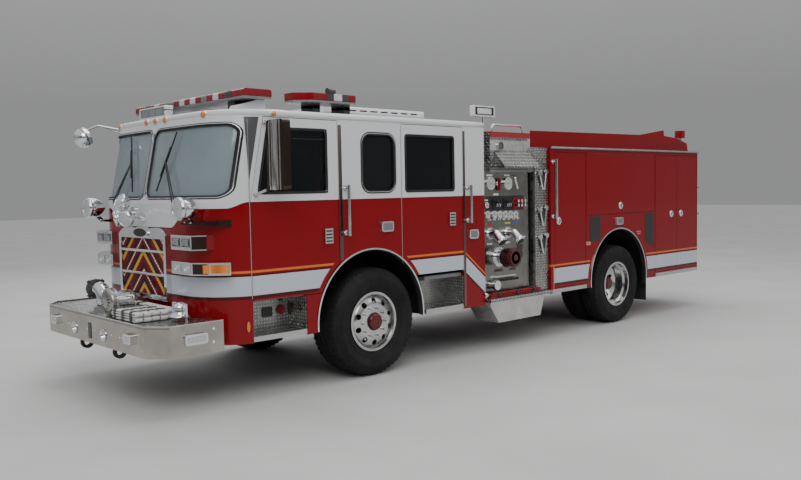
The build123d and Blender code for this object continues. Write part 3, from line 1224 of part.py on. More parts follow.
def front_lamps():
    """Chrome headlamp housings round the corners, spot lamps on their brackets and the beacon stand."""
    nose = nose_solid(-FIT, SKIRT_Z, BELT_Z)
    lamp_x, y_in, y_out = FRONT_AXLE_X + 1905, CAB_HALF - 601, CAB_HALF - 236
    upper = plan_cut(
        outline(
            (lamp_x, y_in), (lamp_x, y_out), (lamp_x - 115, CAB_HALF - 171),
            (lamp_x - 200, CAB_HALF - 171), (lamp_x - 200, y_in),
        ),
        1374,
        1505,
    )
    lower = plan_cut(
        outline(
            (lamp_x, y_in), (lamp_x, y_out), (lamp_x - 90, CAB_HALF - 106), (lamp_x - 231, CAB_HALF + 19),
            (lamp_x - 245, CAB_HALF + 4), (lamp_x - 245, y_in),
        ),
        1160,
        1270,
    )
    for z, height in ((1440, 100), (1215, 84)):
        for y in (CAB_HALF - 505, CAB_HALF - 331):
            recess = front_cut(Pos(y, z) * RectangleRounded(158, height, 14), lamp_x - 10, lamp_x + 1)
            bulb = front_cut(Pos(y, z) * RectangleRounded(150, height - 8, 12), lamp_x - 11, lamp_x - 4)
            if z > 1300:
                upper = upper - recess + bulb
            else:
                lower = lower - recess + bulb
    left = [s for s in ((upper + lower) - nose).solids() if s.volume > 1000]
    back, front = FRONT_AXLE_X + 1500, FRONT_AXLE_X + 1925
    bracket = outline((back, 1565), (front, 1600), (front, 1615), (back, 1640))
    shelf = plan_cut(nose_plan(-62, 0, SEAM_FRONT), 1560, 1645)
    shelf = (shelf & side_cut(bracket, CAB_HALF - 421, CAB_HALF - 66)) - nose
    axis = Vector(FRONT_AXLE_X + 2012, CAB_HALF - 259, 1738)
    body = revolve(
        make_face(
            [
                Line((0, 0), (96, 0)),
                ThreePointArc((96, 0), (104, -14), (98, -34)),
                ThreePointArc((98, -34), (78, -130), (0, -205)),
                Line((0, -205), (0, 0)),
            ]
        ),
        Axis.Y,
    )
    spot = Pos(*axis) * Rot(0, 0, -90) * body
    stalk = rod((axis.X - 150, axis.Y - 30, 1602), (axis.X - 80, axis.Y, 1690), 20)
    lamp = spot + stalk + shelf
    left += lamp.solids()
    z = BEACON_Z
    stand = rod((NOSE_X - 5, 0, z - 60), (NOSE_X + 95, 0, z), 34)
    stand += rod((NOSE_X + 75, 0, z), (BEACON_X - 75, 0, z), 55)
    stand += rod((BEACON_X - 80, 0, z), (BEACON_X + 20, 0, z), 14)
    keep("front_lamps", *left, *[mirrored(p) for p in left], stand - nose)


def beacon_head():
    """Three lamps on a turning hub, tilted outward."""
    z = BEACON_Z
    hub = rod((BEACON_X - 18, 0, z), (BEACON_X + 42, 0, z), 46)
    profile = make_face(
        [
            Line((0, 0), (70, 0)),
            ThreePointArc((70, 0), (78, -12), (72, -26)),
            ThreePointArc((72, -26), (56, -84), (12, -110)),
            Line((12, -110), (0, -110)),
            Line((0, -110), (0, 0)),
        ]
    )
    lamp = Pos(BEACON_X + 55, 118, z) * Rot(0, 0, -60) * revolve(profile, Axis.Y)
    arm = rod((BEACON_X + 10, 30, z), (BEACON_X + 14, 92, z), 17)
    for i in range(3):
        turn = Pos(0, 0, z) * Rot(90 + 120 * i, 0, 0) * Pos(0, 0, -z)
        hub = hub + turn * arm + turn * lamp
    hub -= rod((BEACON_X - 30, 0, z), (BEACON_X + 20 + FIT, 0, z), 14 + FIT)
    keep("beacon_head", hub)


def scored(solid, x, y, z, cuts):
    """Light bar body with shallow grooves that mark its lens modules; x, y and z are its limits."""
    skin = block((x[0] - 1, x[1] + 1), (y[0] - 1, y[1] + 1), (z[0] + 22, z[1] + 1))
    skin -= block((x[0] + 5, x[1] - 5), (y[0] + 5, y[1] - 5), (z[0], z[1] - 5))
    for low, high in cuts:
        solid -= skin & block(*[(a - 2, b + 2) for a, b in zip(low, high)])
    return solid


def front_light_bar():
    x, y, z = FRONT_BAR_X, (-FRONT_BAR_HALF, FRONT_BAR_HALF), (LIGHT_BAR_Z, LIGHT_BAR_Z + 88)
    bar = rounded_block(x, y, z, 24, Axis.Y)
    cuts = []
    for i in range(1, LIGHT_MODULES):
        at = y[0] + (y[1] - y[0]) * i / LIGHT_MODULES
        cuts.append(((x[0] - 1, at, z[0]), (x[1] + 1, at, z[1])))
    cuts.append(((x[0], y[0], z[0] + 24), (x[1], y[1], z[0] + 24)))
    bar = scored(bar, x, y, z, cuts)
    for foot in (-780, 780):
        bar += block((x[0] + 48, x[1] - 50), (foot - 60, foot + 60), (ROOF_EDGE_Z + 40, LIGHT_BAR_Z + 4))
    return bar


def side_light_bar():
    x = FRONT_AXLE_X
    low, high = LIGHT_BAR_Z + 5, LIGHT_BAR_Z + 92
    plan = outline(
        (x + 107, 780), (x + 107, 1080), (x + 130, 1100), (x + 640, 1100), (x + 800, 980), (x + 800, 850), (x + 700, 780)
    )
    bar = plan_cut(plan, low, high)
    ring = offset(plan, amount=1) - offset(plan, amount=-5)
    bar -= plan_cut(ring, low + 22, low + 26)
    for at in (x + 290, x + 480):
        bar -= plan_cut(ring, low + 26, high + 1) & block((at - 2, at + 2), (700, 1200), (low, high + 1))
    for foot in (x + 190, x + 560):
        bar += block((foot - 40, foot + 40), (840, 1040), (ROOF_EDGE_Z + 40, LIGHT_BAR_Z + 6))
    return bar


def scene_light():
    """Floodlight in its frame on a post through the crosslay cover."""
    x, low, high = FRONT_AXLE_X - 1870, 2690, 2815
    light = rounded_block((x - 180, x + 180), (965, 1035), (low, high), 14, Axis.Y)
    light -= block((x - 164, x + 164), (1025, 1036), (low + 16, high - 16))
    light += rounded_block((x - 120, x + 120), (1024, 1032), (low + 30, high - 30), 8, Axis.Y)
    light += rod((x, 1000, PUMP_TOP_Z + 20), (x, 1000, low + 5), 18)
    light -= PARTS["crosslay_cover"]
    return light.solids().sort_by(Axis.Z)[-1]


def roof_unit():
    """Low air-conditioning housing with louvres along both sides."""
    x, y = (FRONT_AXLE_X - 1290, FRONT_AXLE_X + 83), 620
    unit = rounded_block(x, (-y, y), (ROOF_TOP_Z - 40, ROOF_TOP_Z + 52), 30, Axis.X)
    for i in range(8):
        at = x[0] + 160 + 150 * i
        for sign in (1, -1):
            low, high = sorted((sign * (y - 8), sign * (y + 1)))
            unit -= block((at - 50, at + 50), (low, high), (ROOF_TOP_Z + 4, ROOF_TOP_Z + 20))
    return unit


def roof_equipment(roof):
    """Light bars, roof unit, floodlights, horn, antenna and look-down mirror on the crowned roof."""
    side = side_light_bar() - roof
    keep("light_bars", front_light_bar() - roof, side, mirrored(side))
    x, top = FRONT_AXLE_X, ROOF_TOP_Z
    brow = rounded_block((x + 1440, x + 1530), (-692, -138), (top - 95, top + 38), 16, Axis.X)
    brow -= block((x + 1522, x + 1531), (-676, -154), (top - 60, top + 24))
    whip = rod((x + 1000, 600, top - 60), (x + 1000, 600, top + 160), 6)
    whip += rod((x + 1000, 600, top - 60), (x + 1000, 600, top + 5), 24)
    horn = rod((x + 350, 0, top - 40), (x + 350, 0, top + 40), 40)
    speaker_z = LIGHT_BAR_Z + 128
    speaker = block((x + 325, x + 365), (960, 1040), (LIGHT_BAR_Z + 92 + FIT, LIGHT_BAR_Z + 98))
    speaker += block((x + 335, x + 355), (985, 1015), (LIGHT_BAR_Z + 97, speaker_z))
    speaker += rod((x + 310, 1000, speaker_z), (x + 360, 1000, speaker_z), 24)
    speaker += rod((x + 359, 1000, speaker_z), (x + 400, 1000, speaker_z), 33)
    on_roof = [solid - roof for solid in (roof_unit(), brow, whip, horn)]
    keep("roof_equipment", *on_roof, speaker, scene_light(), convex_mirror())


def rear_beacons():
    """Rotating-light domes on posts at the rear corners of the hose bed."""
    beacon = rod((BODY_REAR_X + 230, 1085, BODY_TOP_Z + 20 + 2 * FIT), (BODY_REAR_X + 230, 1085, 2562), 30)
    beacon += rod((BODY_REAR_X + 230, 1085, 2560), (BODY_REAR_X + 230, 1085, 2669), 75)
    return [beacon, mirrored(beacon)]


# Warning lamps on the left side: X from the front axle, panel Y, Z, half length, half height
SIDE_LAMPS = (
    (-137, CAB_HALF, 1499, 80, 52),
    (-1424, CAB_HALF, 1358, 72, 52),
    (-4318, BODY_HALF, 1387, 82, 50),
)


def side_lamps():
    left = []
    for x, y, z, half, height in SIDE_LAMPS:
        x += FRONT_AXLE_X
        lamp = side_cut(Pos(x, z) * RectangleRounded(2 * half, 2 * height, 24), y + FIT, y + 30)
        left.append(lamp)
    tail = []
    for z in (900, 1050, 1200):
        tail.append(rod((BODY_REAR_X - 30, 900, z), (BODY_REAR_X - FIT, 900, z), 62))
    left += tail
    keep("side_and_tail_lamps", *left, *[mirrored(p) for p in left], *rear_beacons())


def siren(deck):
    """Mechanical siren: a domed motor housing behind a wide slotted rotor guard."""
    x, y, z = SIREN_X, SIREN_Y, deck + SIREN_R + 3
    profile = make_face(
        [
            Line((0, -250), (50, -250)),
            ThreePointArc((50, -250), (82, -232), (92, -195)),
            Line((92, -195), (92, -62)),
            Line((92, -62), (SIREN_R, -50)),
            Line((SIREN_R, -50), (SIREN_R, 0)),
            ThreePointArc((SIREN_R, 0), (SIREN_R - 10, 18), (SIREN_R - 34, 26)),
            Line((SIREN_R - 34, 26), (30, 34)),
            Line((30, 34), (0, 34)),
            Line((0, 34), (0, -250)),
        ]
    )
    solid = Pos(x, y, z) * Rot(0, 0, -90) * revolve(profile, Axis.Y)
    slots = 16
    for i in range(slots):
        turn = 360 / slots * i
        slot = Pos(x + 22, y, z) * Rot(turn, 0, 0) * Pos(0, 0, 72) * Box(50, 9, 42)
        solid -= slot
    foot = block((x - 190, x - 90), (y - 60, y + 60), (deck + FIT, z - 60))
    return solid + foot


def bell(deck):
    """Bell hung between two posts on a round base."""
    x, y = BELL_X, BELL_Y
    shell = revolve(
        make_face(
            [
                Line((0, 74), (0, 118)),
                Line((0, 118), (22, 118)),
                ThreePointArc((22, 118), (58, 92), (64, 55)),
                ThreePointArc((64, 55), (76, 18), (98, 0)),
                Line((98, 0), (88, 0)),
                ThreePointArc((88, 0), (64, 22), (52, 60)),
                Line((52, 60), (0, 74)),
            ]
        ),
        Axis.Y,
    )
    solid = Pos(x, y, deck + 42) * Rot(90, 0, 0) * shell
    for side in (1, -1):
        solid += rod((x, y + side * 112, deck + FIT), (x, y + side * 112, deck + 150), 13)
    solid += rod((x, y - 112, deck + 146), (x, y + 112, deck + 146), 11)
    return solid


def suction_elbow(deck):
    """Front suction: a pipe up through the deck, an elbow turned outward and its ribbed cap."""
    x, y = SUCTION_X, SUCTION_Y
    r, z = SUCTION_R, deck + 180
    solid = rod((x, y, deck + FIT), (x, y, deck + 22), r + 28)
    solid += bent_tube([(x, y, deck + 10), (x, y, z), (x, y - 170, z)], [90], r)
    cap = rod((x, y - 150, z), (x, y - 215, z), r + 18)
    for i in range(4):
        cap += Pos(x, y - 190, z) * Rot(0, 45 + 90 * i, 0) * Pos(0, 0, r + 22) * Box(30, 34, 30)
    return solid + cap


def bumper_gear():
    """Siren, bell, front suction, horns and lamps of the bumper."""
    deck = BUMPER_TOP_Z - 14
    pieces = [siren(deck), bell(deck), suction_elbow(deck)]
    for y in HORNS_Y:
        section = outline((0, -44), (20, -44), (46, 6), (58, 6), (58, FIT), (46, FIT), (18, -48), (0, -48))
        pieces.append(Pos(BUMPER_X, y, HORN_Z) * Rot(0, 0, -90) * revolve(section, Axis.Y))
    for y in (BUMPER_LAMP_Y, -BUMPER_LAMP_Y - 60):
        lamp = Pos(y, BUMPER_LAMP_Z) * RectangleRounded(134, 84, 14)
        pieces.append(front_cut(lamp, BUMPER_X + FIT, BUMPER_X + 34))
    lamp = Pos(FRONT_AXLE_X + 2023, BUMPER_LAMP_Z) * RectangleRounded(210, 92, 24)
    side = side_cut(lamp, CAB_HALF + FIT, CAB_HALF + 26)
    pieces += [side, mirrored(side)]
    keep("bumper_gear", *pieces)
    z = (deck + FIT, deck + HOSE_PACK_HEIGHT)
    front_y = (SIREN_Y + SIREN_R + 20, BELL_Y - 130)
    back_y = (SUCTION_Y + SUCTION_R + 60, BELL_Y - 180)
    pack = rounded_block((NOSE_X + 130, BUMPER_X - 60), front_y, z, HOSE_PACK_R, Axis.Y)
    pack += rounded_block((NOSE_X + 60, SIREN_X - 262), back_y, z, HOSE_PACK_R, Axis.Y)
    keep("bumper_hose", pack)


def main():
    frame_rails()
    front_axle()
    keep("knuckle_left", knuckle(1))
    keep("knuckle_right", knuckle(-1))
    tie_rod()
    seat = wheels()
    rear_axle(seat)
    powertrain()
    bumper()
    cab_nose()
    screen_glass()
    cab_side()
    cab_doors()
    cab_floor()
    cab_roof()
    engine_cover()
    seats()
    tailboard = steps()
    pump_house()
    pump_panels()
    body_modules()
    tank_and_bed(tailboard)
    keep("tanks", *TANKS)
    arch_trims()
    door_mirrors()
    grille()
    front_lamps()
    beacon_head()
    roof_equipment(PARTS["cab_roof"])
    side_lamps()
    bumper_gear()


main()
os.makedirs("parts", exist_ok=True)
for name, shape in PARTS.items():
    shape.label = name
    export_step(shape, os.path.join("parts", name + ".step"))
    print(name, len(shape.solids()))
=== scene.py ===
"""Looks of the fire engine. Metres, X forward, Y left, Z up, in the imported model's frame."""

import math
import bmesh
import bpy
from mathutils import Matrix, Vector


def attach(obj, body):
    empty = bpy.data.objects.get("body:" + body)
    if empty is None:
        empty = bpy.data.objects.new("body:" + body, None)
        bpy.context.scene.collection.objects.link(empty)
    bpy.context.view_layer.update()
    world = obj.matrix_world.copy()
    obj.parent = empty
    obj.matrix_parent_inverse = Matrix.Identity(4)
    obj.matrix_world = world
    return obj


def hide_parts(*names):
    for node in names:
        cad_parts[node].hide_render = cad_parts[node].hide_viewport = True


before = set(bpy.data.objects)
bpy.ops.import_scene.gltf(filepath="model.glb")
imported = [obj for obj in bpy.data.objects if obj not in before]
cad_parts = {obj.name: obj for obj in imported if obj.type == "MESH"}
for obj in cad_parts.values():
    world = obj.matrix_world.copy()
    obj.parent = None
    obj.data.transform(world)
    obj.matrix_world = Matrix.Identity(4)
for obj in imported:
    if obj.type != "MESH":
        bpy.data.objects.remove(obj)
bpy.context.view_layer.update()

# Places measured on the vehicle: axles, half widths of cab and body, hubs, arches, nose, bumper and beacon
FRONT_X = 2.177
REAR_X = -2.188
CAB_Y = 1.221
BODY_Y = 1.250
FRONT_HUB_Z = 0.547
REAR_HUB_Z = 0.528
ARCH_FRONT = (2.234, 0.595)
ARCH_REAR = (-2.160, 0.612)
BELT_Z = 1.784
NOSE_X = FRONT_X + 1.850
NOSE_RAKE = 0.206
SEAM_X = FRONT_X + 1.452
CAB_BACK = FRONT_X - 1.631
BUMPER_X = FRONT_X + 2.395
DECK_Z = 0.7735
BEACON_X = FRONT_X + 2.039
BEACON_Z = 1.698
PANEL_Y = 1.150
SIDES = ((1, "left"), (-1, "right"))
# Radius at the tip of a turned form
TIP = 1e-4


def ahead(x):
    """X of a place given by its distance from the front axle."""
    return FRONT_X + x


def at(x, y, z):
    """Point whose X is measured from the front axle."""
    return Vector((FRONT_X + x, y, z))


def about(middle, half):
    return middle - half, middle + half


def near(x, half):
    """X limits round a place measured from the front axle."""
    return about(FRONT_X + x, half)


def pair(*stems):
    """Names of the left and right one of each part."""
    return tuple(f"{stem}_{label}" for stem in stems for _, label in SIDES)


def circle(count, start=0.0):
    """Cosine and sine of evenly spaced angles round a circle."""
    turns = [start + math.tau * i / count for i in range(count)]
    return [(math.cos(t), math.sin(t)) for t in turns]


class Nodes:
    """A node tree with short calls for maths on its sockets."""

    def __init__(self, tree):
        self.tree = tree

    def plug(self, node, index, value):
        socket = node.inputs[index]
        if isinstance(value, bpy.types.NodeSocket):
            self.tree.links.new(value, socket)
        elif socket.type == "RGBA":
            socket.default_value = (*value[:3], 1.0)
        else:
            socket.default_value = value

    def node(self, kind, *inputs, **settings):
        node = self.tree.nodes.new(kind)
        for name, value in settings.items():
            setattr(node, name, value)
        for index, value in enumerate(inputs):
            self.plug(node, index, value)
        return node

    def math(self, operation, *values):
        return self.node("ShaderNodeMath", *values, operation=operation).outputs[0]

    def times(self, first, *rest):
        for value in rest:
            first = self.math("MULTIPLY", first, value)
        return first

    def plus(self, first, second):
        return self.math("ADD", first, second)

    def minus(self, first, second):
        return self.math("SUBTRACT", first, second)

    def over(self, first, second):
        return self.math("DIVIDE", first, second)

    def size(self, value):
        return self.math("ABSOLUTE", value)

    def sine(self, value, rate):
        return self.math("SINE", self.times(value, rate))

    def above(self, value, edge):
        return self.math("GREATER_THAN", value, edge)

    def below(self, value, edge):
        return self.math("LESS_THAN", value, edge)

    def between(self, value, low, high):
        return self.times(self.above(value, low), self.below(value, high))

    def ramp(self, value, low, high, to_low=0.0, to_high=1.0, curve="LINEAR"):
        limits = (low, high, to_low, to_high)
        return self.node("ShaderNodeMapRange", value, *limits, interpolation_type=curve).outputs[0]

    def smooth(self, *values):
        return self.ramp(*values, curve="SMOOTHSTEP")


class Graph(Nodes):
    """A material and its node tree."""

    def __init__(self, name, metallic=0.0, roughness=0.5, coat=0.0):
        self.material = bpy.data.materials.new(name)
        self.material.use_nodes = True
        super().__init__(self.material.node_tree)
        self.shader = self.tree.nodes["Principled BSDF"]
        coords = self.tree.nodes.new("ShaderNodeTexCoord")
        self.place = coords.outputs["Object"]
        self.normal = coords.outputs["Normal"]
        self.x, self.y, self.z = self.node("ShaderNodeSeparateXYZ", self.place).outputs
        self.width = self.size(self.y)
        self.set("Metallic", metallic)
        self.set("Roughness", roughness)
        self.set("Coat Weight", coat)
        self.set("Coat Roughness", 0.05)

    def set(self, name, value):
        self.plug(self.shader, name, value)

    def mix(self, factor, first, second):
        """Colour mixed between two colours or sockets."""
        node = self.node("ShaderNodeMix", factor, data_type="RGBA")
        self.plug(node, 6, first)
        self.plug(node, 7, second)
        return node.outputs[2]

    def level(self, factor, first, second):
        """Number mixed between two values or sockets."""
        node = self.node("ShaderNodeMix", factor, data_type="FLOAT")
        self.plug(node, 2, first)
        self.plug(node, 3, second)
        return node.outputs[0]

    def tint(self, *values):
        self.set("Base Color", self.mix(*values))

    def noise(self, scale, detail=3.0, roughness=0.5, place=None):
        node = self.node("ShaderNodeTexNoise", place or self.place)
        for name, value in (("Scale", scale), ("Detail", detail), ("Roughness", roughness)):
            self.plug(node, name, value)
        return node.outputs[0]

    def mottle(self, scale, detail, low=0.0, high=1.0, span=(0.3, 0.7)):
        """Soft patches between two levels."""
        return self.ramp(self.noise(scale, detail), *span, low, high)

    def stretched(self, *scale):
        node = self.node("ShaderNodeMapping", self.place)
        self.plug(node, "Scale", scale)
        return node.outputs[0]

    def bump(self, height, strength=0.3, distance=0.002):
        node = self.node("ShaderNodeBump")
        for name, value in (("Strength", strength), ("Distance", distance), ("Height", height)):
            self.plug(node, name, value)
        self.set("Normal", node.outputs[0])
        return self.material

    def radius(self, x, z):
        """Distance from a transverse axis at X and Z."""
        dx, dz = self.minus(self.x, x), self.minus(self.z, z)
        return self.math("SQRT", self.plus(self.times(dx, dx), self.times(dz, dz)))


RED = (0.235, 0.0015, 0.0055)
# Dark red of the thin line above each white stripe and of the painted shadow band below it
DARK_LINE_AND_SHADOW_RED = (0.070, 0.002, 0.005)
WHITE = (0.66, 0.67, 0.68)
STRIPE_WHITE = (0.52, 0.56, 0.62)
ORANGE = (0.72, 0.17, 0.03)
BLACK = (0.012, 0.012, 0.013)
LINING_GREY = (0.085, 0.085, 0.090)
LOCKER_GREY = (0.36, 0.36, 0.355)
GOLD_TONE = (0.60, 0.33, 0.05)
PAINT_COAT = 0.24
PAINT_SHINE = 0.16
# Heights of the orange line and of the white stripe below it
CAB_STRIPE = ((1.160, 1.181), (0.959, 1.131))
BODY_STRIPE = ((0.884, 0.905), (0.673, 0.857))
# Ripples of moulded lenses, in radians a metre
LENS_RIBS = 520.0
LUG_PITCH = 0.032


def shade(colour, share):
    return tuple(c * share for c in colour)


def gloss(graph, low=0.16, high=0.26):
    """Slightly uneven gloss and the faint ripple of sprayed paint."""
    graph.set("Specular IOR Level", PAINT_SHINE)
    graph.set("Roughness", graph.mottle(2.1, 4.0, low, high))
    return graph.bump(graph.noise(140.0, 2.0), 0.035, 0.001)


def plain(name, colour, roughness=0.5, metallic=0.0, coat=0.0, grain=60.0, depth=0.15):
    """Plain finish whose tone, gloss and surface vary a little."""
    graph = Graph(name, metallic, roughness, coat)
    graph.tint(graph.mottle(3.0, 5.0), shade(colour, 0.88), shade(colour, 1.12))
    graph.set("Roughness", graph.mottle(7.0, 4.0, roughness * 0.85, roughness * 1.15))
    return graph.bump(graph.noise(grain, 4.0), depth, 0.002)


def stripes(graph, height, base, stripe):
    """Orange line over a white stripe with a dark line above it and painted shadow below it, by height."""
    orange, (low, high) = stripe
    # Dark red band under the white stripe: painted shadow
    colour = graph.mix(graph.between(height, low - 0.030, low), base, DARK_LINE_AND_SHADOW_RED)
    colour = graph.mix(graph.between(height, high, high + 0.016), colour, DARK_LINE_AND_SHADOW_RED)
    colour = graph.mix(graph.between(height, low, high), colour, STRIPE_WHITE)
    return graph.mix(graph.between(height, *orange), colour, ORANGE)


def wheel_well(graph, arch, radius, side):
    """Mask of the inside of a wheel arch."""
    return graph.times(graph.below(graph.radius(*arch), radius), graph.below(graph.width, side))


def lining(graph, x, side, z):
    """Mask of the inner faces of doors and walls, within limits of X and Z."""
    limits = graph.times(graph.between(graph.x, *x), graph.between(graph.z, *z))
    return graph.times(graph.below(graph.width, side), limits)


def cab_paint():
    """White over red with the stripe that steps down behind the rear door and stops at the wheel arch."""
    graph = Graph("cab_paint", coat=PAINT_COAT)
    behind = graph.ramp(graph.x, CAB_BACK, ahead(-1.290), 0.276, 0.0)
    striped = stripes(graph, graph.plus(graph.z, behind), RED, CAB_STRIPE)
    lower = graph.mix(graph.above(graph.radius(*ARCH_FRONT), 0.752), RED, striped)
    corner = graph.smooth(graph.x, ahead(1.47), ahead(1.64), 0.0, 0.052)
    dip = graph.times(graph.smooth(graph.width, 0.50, 0.80, 0.17, 0.0), graph.above(graph.x, ahead(1.70)))
    edge = graph.minus(graph.z, graph.minus(graph.minus(BELT_Z, corner), dip))
    line = graph.between(edge, -0.006, 0.0)
    colour = graph.mix(graph.above(edge, 0.0), graph.mix(line, lower, BLACK), WHITE)
    inner = lining(graph, (CAB_BACK + 0.030, SEAM_X - 0.002), CAB_Y - 0.010, (0.950, 2.530))
    colour = graph.mix(inner, colour, LINING_GREY)
    graph.tint(wheel_well(graph, ARCH_FRONT, 0.706, CAB_Y - 0.012), colour, BLACK)
    return gloss(graph)


def body_paint():
    """Red with the low stripe, which stops at the arch and has an orange line down its front end."""
    graph = Graph("body_paint", coat=PAINT_COAT)
    start = ahead(-2.885)
    striped = stripes(graph, graph.z, RED, BODY_STRIPE)
    ends = graph.times(graph.above(graph.x, start), graph.between(graph.z, 0.60, 0.884))
    striped = graph.mix(ends, striped, RED)
    line = graph.times(graph.between(graph.x, start, ahead(-2.868)), graph.between(graph.z, 0.60, 0.905))
    striped = graph.mix(line, striped, ORANGE)
    colour = graph.mix(graph.above(graph.radius(*ARCH_REAR), 0.735), RED, striped)
    inner = lining(graph, (-4.300, ahead(-2.850)), BODY_Y - 0.005, (0.600, 2.280))
    colour = graph.mix(inner, colour, LOCKER_GREY)
    graph.tint(wheel_well(graph, ARCH_REAR, 0.692, BODY_Y - 0.012), colour, BLACK)
    return gloss(graph)


def solid_paint(name, colour):
    graph = Graph(name, coat=PAINT_COAT)
    graph.tint(graph.mottle(1.3, 3.0), shade(colour, 0.95), colour)
    return gloss(graph)


def chrome(name, colour=(0.80, 0.81, 0.83), roughness=0.07):
    graph = Graph(name, 1.0, roughness)
    graph.tint(graph.mottle(5.0, 4.0, span=(0.35, 0.7)), shade(colour, 0.9), colour)
    graph.set("Roughness", graph.mottle(11.0, 4.0, roughness * 0.6, roughness * 2.2, (0.3, 0.75)))
    return graph.bump(graph.noise(300.0, 2.0), 0.02, 0.001)


def brushed(name, colour=(0.62, 0.62, 0.62), along=(1.0, 60.0, 60.0), roughness=0.30):
    """Brushed metal whose fine scratches run along one direction."""
    graph = Graph(name, 1.0, roughness)
    streak = graph.noise(12.0, 5.0, 0.6, graph.stretched(*along))
    graph.tint(graph.ramp(streak, 0.3, 0.7), shade(colour, 0.82), colour)
    graph.set("Roughness", graph.ramp(streak, 0.25, 0.75, roughness * 0.7, roughness * 1.3))
    return graph.bump(streak, 0.06, 0.001)


def lozenges(graph):
    """Height of tread plate lugs that turn by a quarter from cell to cell."""
    nx, _, nz = graph.node("ShaderNodeSeparateXYZ", graph.normal).outputs
    u = graph.over(graph.level(graph.above(graph.size(nx), 0.6), graph.x, graph.y), LUG_PITCH)
    v = graph.over(graph.level(graph.above(graph.size(nz), 0.6), graph.z, graph.y), LUG_PITCH)
    cell = graph.plus(graph.math("FLOOR", u), graph.math("FLOOR", v))
    sign = graph.minus(graph.times(graph.math("FLOORED_MODULO", cell, 2.0), 2.0), 1.0)
    fu, fv = (graph.minus(graph.math("FRACT", value), 0.5) for value in (u, v))
    along = graph.size(graph.plus(fu, graph.times(fv, sign)))
    aside = graph.size(graph.minus(fv, graph.times(fu, sign)))
    return graph.smooth(graph.plus(graph.over(along, 0.80), graph.over(aside, 0.24)), 0.55, 1.0, 1.0, 0.0)


def tread_plate():
    """Aluminium plate with raised lozenges."""
    graph = Graph("tread_plate", 1.0, 0.26)
    lug = lozenges(graph)
    # Lugs painted lighter and the plate between them darker: painted light and shade
    graph.tint(lug, shade((0.66, 0.66, 0.66), 0.62), (0.85, 0.85, 0.86))
    graph.set("Roughness", graph.ramp(lug, 0.0, 1.0, 0.364, 0.13))
    return graph.bump(lug, 0.9, 0.004)


def lens(name, colour, strength=0.0):
    """Moulded lens with fine ribs and a little depth."""
    graph = Graph(name, 0.0, 0.12, 0.5)
    ribs = graph.sine(graph.plus(graph.x, graph.y), LENS_RIBS)
    # Rib troughs painted darker: painted shade of the ribs
    graph.tint(graph.ramp(ribs, -1.0, 1.0), shade(colour, 0.62), colour)
    graph.set("Emission Color", colour)
    graph.set("Emission Strength", strength)
    return graph.bump(ribs, 0.25, 0.002)


def glass(name, colour, alpha):
    graph = Graph(name, 0.0, 0.03)
    graph.tint(graph.mottle(1.5, 2.0), colour, shade(colour, 1.3))
    graph.set("Alpha", alpha)
    graph.set("IOR", 1.3)
    return graph.material


def cab_glass():
    """Pale windscreen and dark side windows on one node, told apart by their distance from the middle."""
    graph = Graph("cab_glass", 0.0, 0.03, 0.3)
    side = graph.above(graph.width, CAB_Y - 0.045)
    pale = graph.mix(graph.mottle(1.5, 2.0), (0.27, 0.345, 0.375), (0.34, 0.42, 0.45))
    graph.tint(side, pale, (0.012, 0.014, 0.015))
    for name, screen, window in (("Alpha", 0.62, 0.86), ("Coat Weight", 0.4, 0.0), ("IOR", 1.6, 1.3)):
        graph.set(name, graph.level(side, screen, window))
    return graph.material


def woven(name, colour, pitch=0.0035):
    graph = Graph(name, 0.0, 0.85)
    wx, wy, wz = (graph.sine(value, 6.283 / pitch) for value in (graph.x, graph.y, graph.z))
    graph.tint(graph.mottle(6.0, 5.0), shade(colour, 0.75), shade(colour, 1.2))
    graph.set("Sheen Weight", 0.3)
    return graph.bump(graph.times(graph.plus(wx, wz), graph.plus(wy, wz)), 0.35, 0.0012)


def rubber(name, colour=(0.015, 0.015, 0.016), roughness=0.62, dusty=2.2):
    graph = Graph(name, 0.0, roughness)
    graph.set("Specular IOR Level", 0.3)
    dust = graph.ramp(graph.noise(4.0, 6.0, 0.6), 0.40, 0.75)
    graph.tint(dust, colour, tuple(c * dusty + 0.004 for c in colour))
    graph.set("Roughness", graph.mottle(9.0, 4.0, roughness * 0.85, roughness * 1.2))
    return graph.bump(graph.noise(220.0, 3.0), 0.12, 0.001)


def wheel_metal(name, hub, cap_radius, cap_side):
    """Polished wheel whose hub cover is painted red, told apart by distance from its axle."""
    graph = Graph(name, 1.0, 0.14)
    far = graph.radius(*hub)
    red = graph.times(graph.below(far, cap_radius), graph.above(graph.width, cap_side))
    inside = graph.minus(1.0, graph.above(graph.width, cap_side - 0.25))
    metal = graph.mix(graph.mottle(9.0, 5.0, span=(0.3, 0.75)), (0.66, 0.655, 0.65), (0.44, 0.435, 0.43))
    metal = graph.mix(inside, metal, (0.06, 0.06, 0.06))
    # Rings of darker and lighter red across the hub cover: painted light and shade of its steps
    steps = graph.ramp(graph.sine(far, 210.0), -0.2, 0.2)
    graph.tint(red, metal, graph.mix(steps, (0.050, 0.002, 0.005), (0.150, 0.004, 0.009)))
    graph.set("Metallic", graph.minus(1.0, red))
    graph.set("Roughness", graph.mottle(20.0, 4.0, 0.10, 0.26))
    return graph.bump(graph.sine(far, 1900.0), 0.03, 0.001)


def grille_paint():
    """Chevrons in gold, black, burgundy and white over the louvres."""
    graph = Graph("grille_chevrons", coat=0.4)
    fold = graph.plus(graph.z, graph.times(graph.width, 0.9))
    step = graph.math("FLOORED_MODULO", graph.over(fold, 0.052), 6.0)
    colour = (0.16, 0.004, 0.014)
    for low, high, band in (
        (1.0, 2.0, GOLD_TONE), (2.0, 3.0, BLACK), (4.0, 4.35, (0.70, 0.70, 0.68)), (5.0, 5.6, BLACK),
    ):
        colour = graph.mix(graph.between(step, low, high), colour, band)
    graph.set("Base Color", colour)
    return gloss(graph, 0.22, 0.34)


